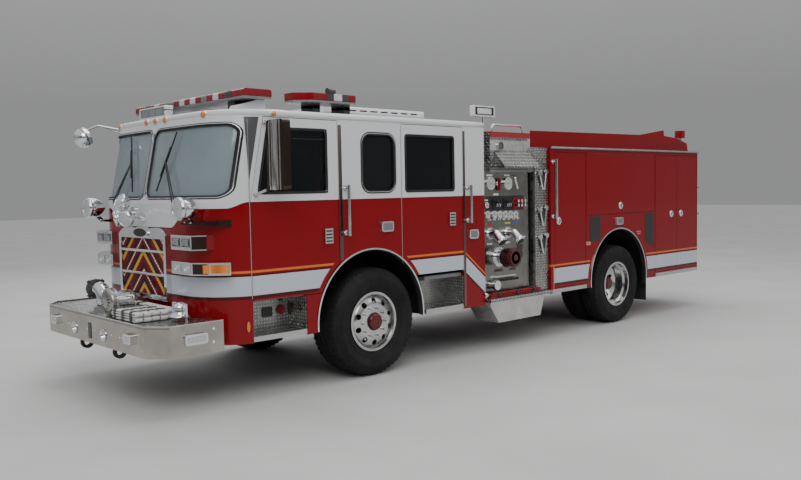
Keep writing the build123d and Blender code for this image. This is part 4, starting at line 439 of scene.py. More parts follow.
PAINT_RED = solid_paint("engine_red", RED)
PAINT_WHITE = solid_paint("gloss_white", WHITE)
CAB_PAINT = cab_paint()
BODY_PAINT = body_paint()
GRILLE_PAINT = grille_paint()
CHROME = chrome("bright_chrome")
MIRROR_STEEL = chrome("polished_steel", (0.66, 0.63, 0.60), 0.10)
MIRROR_GLASS = chrome("mirror_glass", (0.55, 0.60, 0.62), 0.03)
STEEL = brushed("brushed_steel")
# Dark brown of the polished door post strips is a painted dark reflection
UPRIGHT_STEEL_DARK_REFLECTION = brushed("brushed_steel_upright_dark_reflection", (0.20, 0.155, 0.145), (60.0, 60.0, 1.0), 0.20)
TREAD = tread_plate()
BLACK_PAINT = plain("satin_black_paint", (0.016, 0.016, 0.017), 0.42, coat=0.1)
CHASSIS_PAINT = plain("chassis_black", (0.020, 0.020, 0.021), 0.55, grain=40.0, depth=0.3)
CAST_BLACK = plain("cast_black", (0.026, 0.026, 0.027), 0.6, grain=90.0, depth=0.5)
GREY_TRIM = plain("grey_trim", (0.10, 0.10, 0.105), 0.6, grain=180.0, depth=0.35)
GREY_LENS = plain("grey_lens", (0.22, 0.24, 0.26), 0.14, coat=0.6, grain=25.0, depth=0.2)
CAP_PAINT = plain("maroon_cap", (0.075, 0.004, 0.008), 0.32, coat=0.2)
SEAM_TRIM = plain("seam_trim", (0.42, 0.40, 0.40), 0.35, metallic=0.6)
VINYL_RED = plain("red_vinyl", (0.32, 0.012, 0.016), 0.5, grain=150.0, depth=0.4)
GAUGE_FACE = plain("gauge_face", (0.50, 0.50, 0.48), 0.4, coat=0.4, grain=20.0, depth=0.05)
LABEL_RED = plain("label_red", (0.45, 0.012, 0.015), 0.35)
LABEL_GREEN = plain("label_green", (0.03, 0.20, 0.08), 0.35)
LABEL_YELLOW = plain("label_yellow", (0.62, 0.42, 0.03), 0.35)
LABEL_BLUE = plain("label_blue", (0.03, 0.10, 0.40), 0.35)
LABEL_WHITE = plain("label_white", (0.70, 0.70, 0.69), 0.35)
BRONZE = plain("worn_bronze", (0.10, 0.075, 0.06), 0.4, metallic=0.7)
RUBBER = rubber("black_rubber")
TYRE = rubber("tyre_rubber", (0.010, 0.010, 0.011), 0.75, 1.6)
HOSE_RED = rubber("red_hose", (0.20, 0.010, 0.014), 0.5)
SCREEN_GLASS = cab_glass()
SIDE_GLASS = glass("side_glass", (0.008, 0.009, 0.010), 0.88)
DOOR_GLASS = glass("front_door_glass", (0.010, 0.012, 0.013), 0.62)
FLOOD_LENS = lens("floodlight_lens", (0.20, 0.23, 0.26))
FLUTED_LENS = lens("fluted_lens", (0.55, 0.57, 0.60), 0.02)
RED_LENS = lens("red_lens", (0.50, 0.004, 0.008), 0.05)
AMBER_LENS = lens("amber_lens", (0.75, 0.22, 0.02), 0.05)
CLEAR_LENS = lens("clear_lens", (0.75, 0.77, 0.80), 0.03)
SEAT_CLOTH = woven("seat_cloth", (0.030, 0.030, 0.034))
HOSE_WHITE = woven("hose_jacket", (0.72, 0.71, 0.68), 0.005)
STRAP_BLACK = woven("strap_webbing", (0.014, 0.014, 0.015), 0.004)
STRAP_ORANGE = woven("belt_webbing", (0.65, 0.12, 0.03), 0.004)
FRONT_WHEEL = wheel_metal("front_wheel_metal", (FRONT_X, FRONT_HUB_Z), 0.093, 1.155)
REAR_WHEEL = wheel_metal("rear_wheel_metal", (REAR_X, REAR_HUB_Z), 0.090, 1.020)

# Finishes of zoned materials: colour, metallic, roughness
F_CHROME = ((0.78, 0.79, 0.81), 1.0, 0.09)
F_STEEL = ((0.46, 0.45, 0.43), 1.0, 0.25)
F_PANEL = ((0.27, 0.265, 0.245), 1.0, 0.22)
F_BRIGHT = ((0.66, 0.65, 0.63), 1.0, 0.27)
# Near-black polished metal: painted dark reflections on the lamp and mirror housings
F_DARK_REFLECTION = ((0.075, 0.055, 0.048), 1.0, 0.14)
F_PAINT = (RED, 0.0, 0.24)
F_TREAD = ((0.74, 0.74, 0.72), 1.0, 0.27)
F_BLACK = ((0.014, 0.014, 0.015), 0.0, 0.38)
F_DARK = ((0.050, 0.050, 0.055), 0.0, 0.45)
F_GREY = ((0.20, 0.205, 0.21), 0.0, 0.35)
F_CLEAR = ((0.62, 0.64, 0.66), 0.0, 0.12)
F_RED = ((0.25, 0.003, 0.009), 0.0, 0.16)
F_MAROON = ((0.070, 0.004, 0.008), 0.0, 0.30)
F_WHITE = ((0.76, 0.76, 0.75), 0.0, 0.24)
F_AMBER = ((0.70, 0.22, 0.02), 0.0, 0.14)
F_GLASS = ((0.10, 0.12, 0.13), 0.2, 0.05)


def zoned(name, base, zones, tread=(), ribs=()):
    """Several finishes on one node, each in a zone given by its limits of X, |Y|, Z and Y.

    Tread zones carry lugs and rib zones carry the ripples of a lens.
    """
    graph = Graph(name)

    def mask(limits):
        steps = [graph.between(value, *limit)
                 for value, limit in zip((graph.x, graph.width, graph.z, graph.y), limits) if limit]
        return graph.times(*steps)

    colour, metallic, roughness = base
    for finish, *limits in zones:
        inside = mask(limits)
        colour = graph.mix(inside, colour, finish[0])
        metallic = graph.level(inside, metallic, finish[1])
        roughness = graph.level(inside, roughness, finish[2])
    tone = graph.mottle(6.0, 5.0, 0.82, 1.06, (0.3, 0.72))
    height = graph.times(graph.noise(130.0, 3.0), 0.05)
    if tread:
        inside = mask(tread[0])
        for limits in tread[1:]:
            inside = graph.math("MAXIMUM", inside, mask(limits))
        lug = graph.times(lozenges(graph), inside)
        # Lugs painted lighter and the plate between them darker: painted light and shade
        tone = graph.times(tone, graph.level(inside, 1.0, graph.level(lug, 0.38, 1.32)))
        height = graph.plus(height, lug)
    for limits in ribs:
        wave = graph.times(graph.sine(graph.plus(graph.x, graph.y), LENS_RIBS), 0.25, mask(limits))
        height = graph.plus(height, wave)
    node = graph.node("ShaderNodeVectorMath", operation="SCALE")
    graph.plug(node, 0, colour)
    graph.plug(node, 3, tone)
    graph.set("Base Color", node.outputs[0])
    graph.set("Metallic", metallic)
    graph.set("Roughness", graph.times(roughness, graph.mottle(9.0, 4.0, 0.8, 1.35, (0.3, 0.75))))
    return graph.bump(height, 0.9 if tread or ribs else 0.3, 0.003)


PANEL_FACE = (1.1505, 1.60)
# Colour of each half lens module of the front light bar, right end to left: red, white, grey, dark
BAR_PATTERN = "RRDRWRGGRWRWRGRWRDRR"
BAR_FINISH = {"W": F_CLEAR, "G": F_GREY, "D": F_DARK}
BAR_HALF = 1.07
BAR_LENS_Z = 2.7285


def light_bar_zones():
    zones = [(F_GREY, None, None, (2.69, BAR_LENS_Z))]
    pitch = 2 * BAR_HALF / len(BAR_PATTERN)
    for index, code in enumerate(BAR_PATTERN):
        if code != "R":
            low = pitch * index - BAR_HALF
            limits = near(1.241, 0.160), None, (BAR_LENS_Z, 2.85), (low + 0.002, low + pitch - 0.002)
            zones.append((BAR_FINISH[code], *limits))
    for x, half, code in ((0.445, 0.033, "D"), (0.345, 0.050, "W"), (0.250, 0.034, "D")):
        zones.append((BAR_FINISH[code], near(x, half), (0.70, 1.2), (2.7320, 2.85)))
    return [*zones, (F_BLACK, None, None, (2.5, 2.7050))]


def lamp_zones():
    zones = [
        (F_CHROME, None, (1.20, 1.30), None),
        (F_CHROME, near(-6.270, 0.06), (1.0, 1.2), (2.30, 2.5598)),
        (F_CLEAR, (-4.40, -4.30), (0.8, 1.0), (0.83, 0.97)),
        (F_AMBER, (-4.40, -4.30), (0.8, 1.0), (0.98, 1.12)),
    ]
    rim = 0.016
    for x, y, z, half, height in (
        (-0.137, CAB_Y, 1.499, 0.080, 0.052), (-1.424, CAB_Y, 1.358, 0.072, 0.052),
        (-4.318, BODY_Y, 1.387, 0.082, 0.050),
    ):
        zones.append((F_GREY, near(x, half - rim), (y + 0.0296, y + 0.05), about(z, height - rim)))
    return zones


def panel_zones():
    valve, tool, lever = near(-1.947, 0.16), near(-2.072, 0.20), (1.619, 1.741)
    zones = [
        (F_TREAD, None, None, (2.050, 2.60)),
        (F_BLACK, near(-2.070, 0.345), (1.14, 1.1505), (1.600, 1.770)),
        (F_CHROME, None, (1.2985, 1.31), (2.05, 2.13)),
        (F_STEEL, None, PANEL_FACE, (2.30, 2.41)),
        (F_BLACK, near(-1.915, 0.0625), PANEL_FACE, lever),
        (F_BLACK, near(-2.105, 0.0625), PANEL_FACE, lever),
        (F_RED, near(-2.312, 0.1005), PANEL_FACE, (1.613, 1.747)),
        (F_BLACK, None, (1.195, 1.3), (1.62, 1.74)),
        (F_CHROME, None, PANEL_FACE, (1.480, 1.612)),
        (F_CHROME, None, PANEL_FACE, (1.16, 1.42)),
        (F_CHROME, near(-1.947, 0.13), PANEL_FACE, (0.90, 1.20)),
        (F_MAROON, valve, (1.2495, 1.60), (0.90, 1.23)),
        (F_BLACK, valve, (1.2495, 1.3300), (0.90, 1.23)),
        (F_CHROME, near(-1.835, 0.060), PANEL_FACE, (0.68, 0.81)),
        (F_CHROME, tool, PANEL_FACE, (0.770, 0.815)),
        (F_BLACK, tool, (1.1777, 1.21), (0.770, 0.815)),
    ]
    bosses = ((-1.804, 1.917), (-2.114, 1.914))
    return zones + [(F_CHROME, near(x, 0.076), PANEL_FACE, about(z, 0.076)) for x, z in bosses]


PANEL_TREAD = [(None, None, (2.052, 2.30)), (None, None, (2.41, 2.60))]
PANEL_LOOK = zoned("pump_panel_steel", F_PANEL, panel_zones(), PANEL_TREAD)
BAR_LOOK = zoned("light_bar_lenses", F_RED, light_bar_zones(), ribs=[(None, None, (BAR_LENS_Z, 2.79))])
LAMP_LOOK = zoned("warning_lamps", F_RED, lamp_zones(), ribs=[(None, None, (0.80, 2.90))])
ROOF_LOOK = zoned("roof_gear", F_WHITE, [
    (F_CHROME, near(1.80, 0.29), (0.95, 1.20), None),
    (F_GLASS, (ahead(1.5215), ahead(1.5235)), (0.13, 0.69), (2.641, 2.723)),
    (F_BLACK, near(-1.870, 0.1645), (1.0245, 1.0255), (2.700, 2.805)),
    (F_CLEAR, near(-1.870, 0.125), (1.0256, 1.0330), (2.715, 2.79)),
    (F_CHROME, near(-1.870, 0.030), (0.97, 1.03), (2.40, 2.6895)),
    (F_DARK, near(0.355, 0.060), (0.95, 1.05), (2.79, 2.90)),
    (F_BLACK, near(1.0, 0.03), (0.57, 0.63), None),
    (F_CHROME, near(0.35, 0.045), (0.0, 0.045), None),
    (F_DARK, near(-0.604, 0.60), (0.610, 0.6195), (2.703, 2.721)),
])
TRIM_LOOK = zoned("bright_trim_metal", F_CHROME, [
    (F_DARK, near(-2.690, 0.080), (1.2150, 1.2276), None),
    (F_STEEL, (-4.33, -0.65), (1.2502, 1.2800), (2.328, 2.358)),
])
PUMP_LOOK = zoned(
    "pump_house_plate", F_TREAD, [(F_BLACK, near(-2.535, 0.0248), (0.9, 1.1505), (0.712, 2.0445))],
    [((-5.0, near(-2.5351, 0.025)[0]), None, None), ((near(-2.535, 0.025)[1], 3.0), None, None)],
)
BUMPER_LUGS = [(None, (0.0, 1.2120), (0.76, DECK_Z)), (None, None, (0.43, 0.517))]
BUMPER_LOOK = zoned("bumper_metal", ((0.47, 0.44, 0.40), 1.0, 0.22), [
    *((F_TREAD, *limits) for limits in BUMPER_LUGS), (F_CHROME, None, None, (0.7820, 0.80)),
], BUMPER_LUGS)
# Dark zones on the chrome lamp housings are painted dark reflections; the red zone is paint
NOSE_LAMP_LOOK = zoned("front_lamp_chrome", F_CHROME, [
    (F_DARK_REFLECTION, near(1.715, 0.2160), (0.790, 1.160), (1.555, 1.6450)),
    (F_DARK_REFLECTION, near(1.848, 0.0560), (0.9860, 1.10), (1.384, 1.495)),
    (F_PAINT, near(1.740, 0.0520), (0.9860, 1.10), (1.30, 1.52)),
    (F_DARK_REFLECTION, near(1.862, 0.0400), (0.9860, 1.12), (1.170, 1.260)),
])
MIRROR_Y = 1.471
# Dark bands across the polished mirror housing are painted reflections
MIRROR_LOOK = zoned("mirror_housing", ((0.68, 0.66, 0.63), 1.0, 0.10), [
    (F_DARK_REFLECTION, near(1.35, 0.12), (MIRROR_Y + low, MIRROR_Y + high), (1.86, 2.52))
    for low, high in ((-0.130, -0.084), (-0.066, -0.050), (0.050, 0.066), (0.084, 0.130))
])
GEAR_LOOK = zoned("bumper_gear_metal", F_CHROME, [
    (F_DARK, near(2.110, 0.12), (0.528, 0.600), (0.83, 1.08)),
    (F_STEEL, near(2.312, 0.05), (0.0, 0.27), (0.79, 1.04)),
    (F_CHROME, (BUMPER_X - 0.070, BUMPER_X + 0.1), None, None),
])
CAB_INSIDE = zoned("cab_inside", F_GREY, [
    (F_BLACK, near(0.057, 0.765), (0.45, 1.25), (0.3, 1.36)), (F_DARK, None, None, (1.36, 2.6)),
])
STEP_LOOK = zoned("step_plate", F_TREAD, [(F_BRIGHT, near(-2.190, 0.60), None, (0.20, 0.565))],
                  [(None, None, (0.5655, 2.0)), (None, (0.0, 0.897), (0.2, 0.5655))])

NODE_LOOKS = {
    CHASSIS_PAINT: ("frame_rails", "powertrain", "tanks", "tie_rod"),
    CAST_BLACK: ("front_axle", "rear_axle", *pair("knuckle")),
    FRONT_WHEEL: pair("rim_front"),
    REAR_WHEEL: pair("rim_rear"),
    TYRE: pair("tyre_front", "tyre_rear"),
    CAB_PAINT: ("cab_nose", "cab_sides", *pair("door_front", "door_crew")),
    BODY_PAINT: (
        "body_modules", *pair("locker_front", "locker_middle", "locker_rear_fore", "locker_rear_aft"),
    ),
    PAINT_WHITE: ("cab_roof",),
    ROOF_LOOK: ("roof_equipment",),
    PAINT_RED: ("hose_bed",),
    BUMPER_LOOK: ("front_bumper",),
    CAB_INSIDE: ("cab_floor", "engine_cover_and_dash"),
    DOOR_GLASS: pair("pane_front"),
    SIDE_GLASS: pair("pane_crew"),
    SCREEN_GLASS: ("cab_glass",),
    TREAD: ("rear_panel",),
    STEP_LOOK: ("steps",),
    PUMP_LOOK: ("pump_house",),
    PANEL_LOOK: ("pump_panels",),
    TRIM_LOOK: ("bright_trim",),
    MIRROR_LOOK: pair("mirror"),
    NOSE_LAMP_LOOK: ("front_lamps",),
    CHROME: ("grille", "beacon_head"),
    GEAR_LOOK: ("bumper_gear",),
    VINYL_RED: ("crosslay_cover",),
    RUBBER: ("mud_flaps",),
    BAR_LOOK: ("light_bars",),
    LAMP_LOOK: ("side_and_tail_lamps",),
    SEAT_CLOTH: ("seats",),
    HOSE_WHITE: ("bumper_hose",),
}


def dress_nodes():
    for material, names in NODE_LOOKS.items():
        for name in names:
            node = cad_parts[name]
            node.data.materials.clear()
            node.data.materials.append(material)


def link(name, data):
    """New object in the scene."""
    thing = bpy.data.objects.new(name, data)
    bpy.context.scene.collection.objects.link(thing)
    return thing


class Piece:
    """One mesh object built from several forms, each with its own material."""

    ORDER = {"X": (2, 0, 1), "Y": (0, 2, 1), "Z": (0, 1, 2)}

    def __init__(self, name, slot, body="vehicle"):
        self.name, self.body, self.slot_name = name, body, slot
        self.mesh = bmesh.new()
        self.materials = []

    def faces(self, points, faces, material, smooth=False):
        made = [self.mesh.verts.new(p) for p in points]
        if material not in self.materials:
            self.materials.append(material)
        for corners in faces:
            face = self.mesh.faces.new([made[i] for i in corners])
            face.material_index = self.materials.index(material)
            face.smooth = smooth

    def skin(self, rows, material, smooth=False, ends=False, ring=False):
        """Surface over closed rows of points, with closed ends or with its last row joined to its first."""
        count, last = len(rows[0]), len(rows) * len(rows[0])
        faces = [tuple(range(count))[::-1], tuple(range(last - count, last))] if ends else []
        for a in range(0, last if ring else last - count, count):
            b = (a + count) % last
            faces += [(a + i, a + (i + 1) % count, b + (i + 1) % count, b + i) for i in range(count)]
        self.faces([p for row in rows for p in row], faces, material, smooth)

    def box(self, x, y, z, material, side=1):
        """Box by its limits, with those of Y given for the left side."""
        low, high = sorted(side * limit for limit in y)
        self.prism([(x[0], low), (x[1], low), (x[1], high), (x[0], high)], z, "Z", material)

    def prism(self, drawing, span, axis, material):
        """Flat outline in the two axes other than the given one, pulled from the low to the high limit."""
        order = self.ORDER[axis]
        rows = [[tuple((a, b, t)[i] for i in order) for a, b in drawing] for t in sorted(span)]
        self.skin(rows, material, ends=True)

    def lathe(self, profile, centre, axis, material, segments=32, smooth=True):
        """Turned form: pairs of radius and distance along the axis from the centre."""
        axis, centre = Vector(axis).normalized(), Vector(centre)
        side = axis.orthogonal().normalized()
        other = axis.cross(side)
        points, faces, count = [], [], len(profile)
        for i, (c, s) in enumerate(circle(segments)):
            points += [centre + (side * c + other * s) * r + axis * t for r, t in profile]
            a, b = i * count, (i + 1) % segments * count
            faces += [(a + j, b + j, b + j + 1, a + j + 1) for j in range(count - 1)]
        self.faces(points, faces, material, smooth)

    def tube(self, route, radius, material, segments=10):
        """Round bar along points, with closed ends."""
        route = [Vector(p) for p in route]
        rows, side = [], None
        for i, p in enumerate(route):
            tangent = (route[min(i + 1, len(route) - 1)] - route[max(i - 1, 0)]).normalized()
            side = tangent.orthogonal() if side is None else side - tangent * side.dot(tangent)
            side.normalize()
            other = tangent.cross(side)
            rows.append([p + (side * c + other * s) * radius for c, s in circle(segments)])
        self.skin(rows, material, True, ends=True)

    def flat_hose(self, route, width, thick, material, along_x=False):
        """Flattened hose along a route, wide across the plane that it turns in."""
        oval = [
            (math.copysign(abs(c) ** 0.45, c), math.copysign(abs(s) ** 0.8, s) * thick / 2)
            for c, s in circle(12)
        ]
        rows, last = [], len(route) - 1
        for i, p in enumerate(route):
            tangent = route[min(i + 1, last)] - route[max(i - 1, 0)]
            up = Vector((0, 0, 1)) if along_x else Vector((0, -tangent.z, tangent.y)).normalized()
            wide = Vector((0, width / 2, 0)) if along_x else Vector((width / 2, 0, 0))
            rows.append([p + wide * across + up * rise for across, rise in oval])
        self.skin(rows, material, True, ends=True)

    def mirror(self):
        """Adds the same forms on the other side."""
        whole = [*self.mesh.verts, *self.mesh.edges, *self.mesh.faces]
        made = bmesh.ops.duplicate(self.mesh, geom=whole)["geom"]
        for v in (g for g in made if isinstance(g, bmesh.types.BMVert)):
            v.co.y = -v.co.y
        bmesh.ops.reverse_faces(self.mesh, faces=[g for g in made if isinstance(g, bmesh.types.BMFace)])
        return self

    def done(self, bevel=0.0, replaces=()):
        bmesh.ops.remove_doubles(self.mesh, verts=self.mesh.verts[:], dist=2e-6)
        bmesh.ops.recalc_face_normals(self.mesh, faces=self.mesh.faces[:])
        data = bpy.data.meshes.new(self.name)
        self.mesh.to_mesh(data)
        self.mesh.free()
        for material in self.materials:
            data.materials.append(material)
        piece = link(self.name, data)
        if bevel:
            modifier = piece.modifiers.new("edges", "BEVEL")
            modifier.width = bevel
            modifier.segments = 2
            modifier.limit_method = "ANGLE"
            modifier.angle_limit = math.radians(35)
        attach(piece, self.body)
        if replaces:
            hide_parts(*replaces)


def rounded(x0, x1, z0, z1, radius, steps=5):
    """Outline of a rectangle with round corners."""
    points = []
    for quarter, (cx, cz) in enumerate(((x1, z1), (x0, z1), (x0, z0), (x1, z0))):
        cx += -radius if cx == x1 else radius
        cz += -radius if cz == z1 else radius
        for i in range(steps + 1):
            turn = math.radians(90 * quarter + 90 * i / steps)
            points.append((cx + radius * math.cos(turn), cz + radius * math.sin(turn)))
    return points


def offset_loop(points, amount):
    """Closed outline moved outward along its own normals."""
    moved, count = [], len(points)
    area = sum(points[i - 1][0] * points[i][1] - points[i][0] * points[i - 1][1] for i in range(count))
    turn = 1 if area > 0 else -1
    for i, (x, y) in enumerate(points):
        (ax, ay), (bx, by) = points[i - 1], points[(i + 1) % count]
        length = math.hypot(bx - ax, by - ay) or 1.0
        moved.append((x + turn * (by - ay) / length * amount, y - turn * (bx - ax) / length * amount))
    return moved


def divided(points, pitch):
    """Closed outline with points added along its straight runs."""
    out = []
    for i, (x, y) in enumerate(points):
        nx, ny = points[(i + 1) % len(points)]
        parts = max(1, int(math.hypot(nx - x, ny - y) / pitch))
        out += [(x + (nx - x) * k / parts, y + (ny - y) * k / parts) for k in range(parts)]
    return out


def dark_horizon(sky, generated, back, strength):
    """Darkens the sky low behind the camera, so that polished metal has something dark to reflect."""
    x, y, z = generated
    behind = sky.times(sky.smooth(x, -0.2, 0.5), sky.smooth(y, -0.2, 0.5))
    share = sky.times(behind, sky.smooth(z, 0.10, 0.32, 1.0, 0.0))
    sky.plug(back, 1, sky.smooth(share, 0.0, 1.0, strength, strength * 0.28))


def place_camera():
    """The photograph's viewpoint."""
    yaw, pitch, roll = (math.radians(a) for a in (-132.824, -3.557, -1.075))
    forward = Vector((math.cos(yaw) * math.cos(pitch), math.sin(yaw) * math.cos(pitch), math.sin(pitch)))
    right = forward.cross(Vector((0, 0, 1))).normalized()
    up = right.cross(forward)
    r = right * math.cos(roll) + up * math.sin(roll)
    u = up * math.cos(roll) - right * math.sin(roll)
    camera = link("camera", bpy.data.cameras.new("camera"))
    camera.data.sensor_width = 36.0
    camera.data.lens = 36.96
    camera.data.clip_end = 200.0
    place = at(5.380, 7.383, 1.874)
    camera.matrix_world = Matrix([(r[i], u[i], -forward[i], place[i]) for i in range(3)] + [(0, 0, 0, 1)])
    bpy.context.scene.camera = camera


# Height in the sky's own coordinates and brightness
SKY_LEVELS = ((0.0, 0.46), (0.10, 0.46), (0.26, 0.66), (0.42, 1.05), (1.0, 1.2))
# Name, place, target, size, watts
LIGHTS = (
    ("key", (9.0, 9.0, 9.0), (0.5, 0, 1.2), 7.0, 560),
    ("fill", (-6.0, 9.0, 6.0), (-2.0, 0, 1.2), 6.0, 90),
    ("top", (0.0, 0.0, 10.0), (0, 0, 0), 9.0, 620),
    ("back", (-3.0, -10.0, 7.0), (0, 0, 1.5), 7.0, 260),
)


def studio():
    """Soft sky, four soft lights and a pale floor."""
    world = bpy.data.worlds.new("studio")
    world.use_nodes = True
    bpy.context.scene.world = world
    sky = Nodes(world.node_tree)
    back = sky.tree.nodes["Background"]
    coords = sky.node("ShaderNodeTexCoord")
    generated = sky.node("ShaderNodeSeparateXYZ", coords.outputs["Generated"]).outputs
    ramp = sky.node("ShaderNodeValToRGB", generated[2])
    sky.plug(back, 0, ramp.outputs[0])
    while len(ramp.color_ramp.elements) < len(SKY_LEVELS):
        ramp.color_ramp.elements.new(0.5)
    for element, (spot, tone) in zip(ramp.color_ramp.elements, SKY_LEVELS):
        element.position = spot
        element.color = (tone, tone * 1.005, tone * 1.02, 1.0)
    dark_horizon(sky, generated, back, 0.62)

    for name, spot, target, size, watts in LIGHTS:
        data = bpy.data.lights.new(name, "AREA")
        data.size, data.energy = size, watts
        lamp = link(name, data)
        lamp.location = spot
        lamp.rotation_euler = (Vector(target) - Vector(spot)).to_track_quat("-Z", "Y").to_euler()

    graph = Graph("pale_floor", 0.0, 0.8)
    graph.tint(graph.mottle(0.8, 6.0), (0.52, 0.52, 0.51), (0.58, 0.58, 0.57))
    graph.bump(graph.noise(60.0, 5.0), 0.1, 0.004)
    data = bpy.data.meshes.new("floor")
    reach = 60.0
    square = [(-reach, -reach, 0), (reach, -reach, 0), (reach, reach, 0), (-reach, reach, 0)]
    data.from_pydata(square, [], [(0, 1, 2, 3)])
    data.materials.append(graph.material)
    link("floor", data)


def arc_centre(a, b, c):
    """Centre and radius of the circle through three plan points."""
    (ax, ay), (bx, by), (cx, cy) = a, b, c
    d = 2 * (ax * (by - cy) + bx * (cy - ay) + cx * (ay - by))
    sa, sb, sc = ax * ax + ay * ay, bx * bx + by * by, cx * cx + cy * cy
    ux = (sa * (by - cy) + sb * (cy - ay) + sc * (ay - by)) / d
    uy = (sa * (cx - bx) + sb * (ax - cx) + sc * (bx - ax)) / d
    return ux, uy, math.hypot(ax - ux, ay - uy)


# Plan of the nose: a flat arc across the brow and a rounder one at each corner
BROW_Y = CAB_Y - 0.505
BROW_X = NOSE_X - 0.014
BROW_ARC = arc_centre((BROW_X, -BROW_Y), (NOSE_X, 0), (BROW_X, BROW_Y))
CORNER_ARC = arc_centre((BROW_X, BROW_Y), (NOSE_X - 0.135, CAB_Y - 0.166), (SEAM_X, CAB_Y))


def nose_x(y, z):
    """X of the nose's outer face, which leans back above its white band."""
    cx, cy, r = BROW_ARC if abs(y) <= BROW_Y else CORNER_ARC
    return cx + math.sqrt(max(0.0, r * r - (abs(y) - cy) ** 2)) - max(0.0, z - BELT_Z) * NOSE_RAKE


def on_nose(y, z, out=0.0):
    """Point at a distance outside the nose's face."""
    step = 0.004
    slope = (nose_x(y + step, z) - nose_x(y - step, z)) / (2 * step)
    rake = (nose_x(y, z + step) - nose_x(y, z - step)) / (2 * step)
    return Vector((nose_x(y, z), y, z)) + Vector((1.0, -slope, -rake)).normalized() * out


# One pane of the windscreen: limits of Y and of Z
SCREEN_Y = (0.022, 1.150)
SCREEN_Z = (1.832, 2.472)
# Sections of the gasket and of its bright bead: distance outside the pane's edge, distance off the nose
GASKET = ((-0.016, -0.006), (-0.016, 0.003), (0.004, 0.006), (0.016, 0.003), (0.016, -0.004))
BEAD = ((0.001, 0.004), (0.001, 0.0075), (0.007, 0.0075), (0.007, 0.004))


def windscreen():
    """Black gaskets with a bright bead round both panes, the centre strip and the wipers."""
    piece = Piece("windscreen_gaskets", "rubber_black")
    pane = divided(rounded(*SCREEN_Y, *SCREEN_Z, 0.090, 6), 0.04)
    for side in (1, -1):
        outline = [(side * y, z) for y, z in pane]
        for section, material in ((GASKET, RUBBER), (BEAD, CHROME)):
            rows = [[on_nose(y, z, out) for y, z in offset_loop(outline, grow)] for grow, out in section]
            piece.skin(rows, material, True, ring=True)
    piece.done()

    strip = Piece("windscreen_centre_strip", "chrome_trim")
    low, high = SCREEN_Z[0] + 0.03, SCREEN_Z[1] - 0.03
    section = ((-0.013, 0.002), (-0.013, 0.008), (0.013, 0.008), (0.013, 0.002))
    rows = [[on_nose(y, low + (high - low) * i / 12, out) for y, out in section] for i in range(13)]
    strip.skin(rows, CHROME, ends=True)
    strip.done()

    wipers = Piece("wipers", "rubber_black")
    for side in (1, -1):
        pivot = on_nose(side * 0.62, 1.775, 0.012)
        tip = on_nose(side * 0.36, 2.16, 0.030)
        for spread in (-0.022, 0.022):
            foot = pivot + Vector((0, spread, 0))
            arm = [foot, foot + Vector((0.02, 0, 0.02)), tip + Vector((0, spread * 0.4, 0))]
            wipers.tube(arm, 0.006, BLACK_PAINT, 8)
        boss = [(TIP, 0), (0.024, 0), (0.024, 0.018), (TIP, 0.024)]
        wipers.lathe(boss, pivot - Vector((0.012, 0, 0)), (1, 0, 0.2), BLACK_PAINT, 16)
        steps = (-1.0, -0.5, 0.0, 0.5, 1.0)
        blade = [on_nose(side * (0.36 + k * 0.11), 2.16 + k * 0.27, 0.017) for k in steps]
        wipers.tube([p + Vector((0.012, 0, 0)) for p in blade[1:4]], 0.006, BLACK_PAINT, 8)
        wipers.tube(blade, 0.007, RUBBER, 6)
    wipers.done()


MID_WINDOW = (ahead(-0.267), ahead(0.160), 1.854, 2.419)
CREW_WINDOW = (ahead(-1.134), ahead(-0.424), 1.851, 2.418)
DOOR_WINDOW = ((0.601, 1.860), (1.362, 1.860), (1.254, 2.434), (0.601, 2.434))


def side_frame(piece, outline, width, inner, proud, material, side, depth=0.004):
    """Frame round a window in the cab's side: from inside the hole's edge to a width outside it."""
    outline = divided(outline, 0.05)
    section = (
        (-inner, -depth), (-inner, proud * 0.7), (width * 0.5, proud), (width, proud * 0.6), (width, -depth),
    )
    rows = [
        [(x, side * (CAB_Y + level), z) for x, z in offset_loop(outline, grow)] for grow, level in section
    ]
    piece.skin(rows, material, ring=True)


def door_latch(piece, x, z, side):
    """Tall paddle latch: a bright frame with four dark bars."""
    y = CAB_Y + 0.022
    piece.box(about(x, 0.046), (y - 0.0215, y + 0.0015), about(z, 0.070), CHROME, side)
    for k in (-1.5, -0.5, 0.5, 1.5):
        piece.box(about(x, 0.036), (y + 0.0005, y + 0.004), about(z + k * 0.032, 0.007), BLACK_PAINT, side)


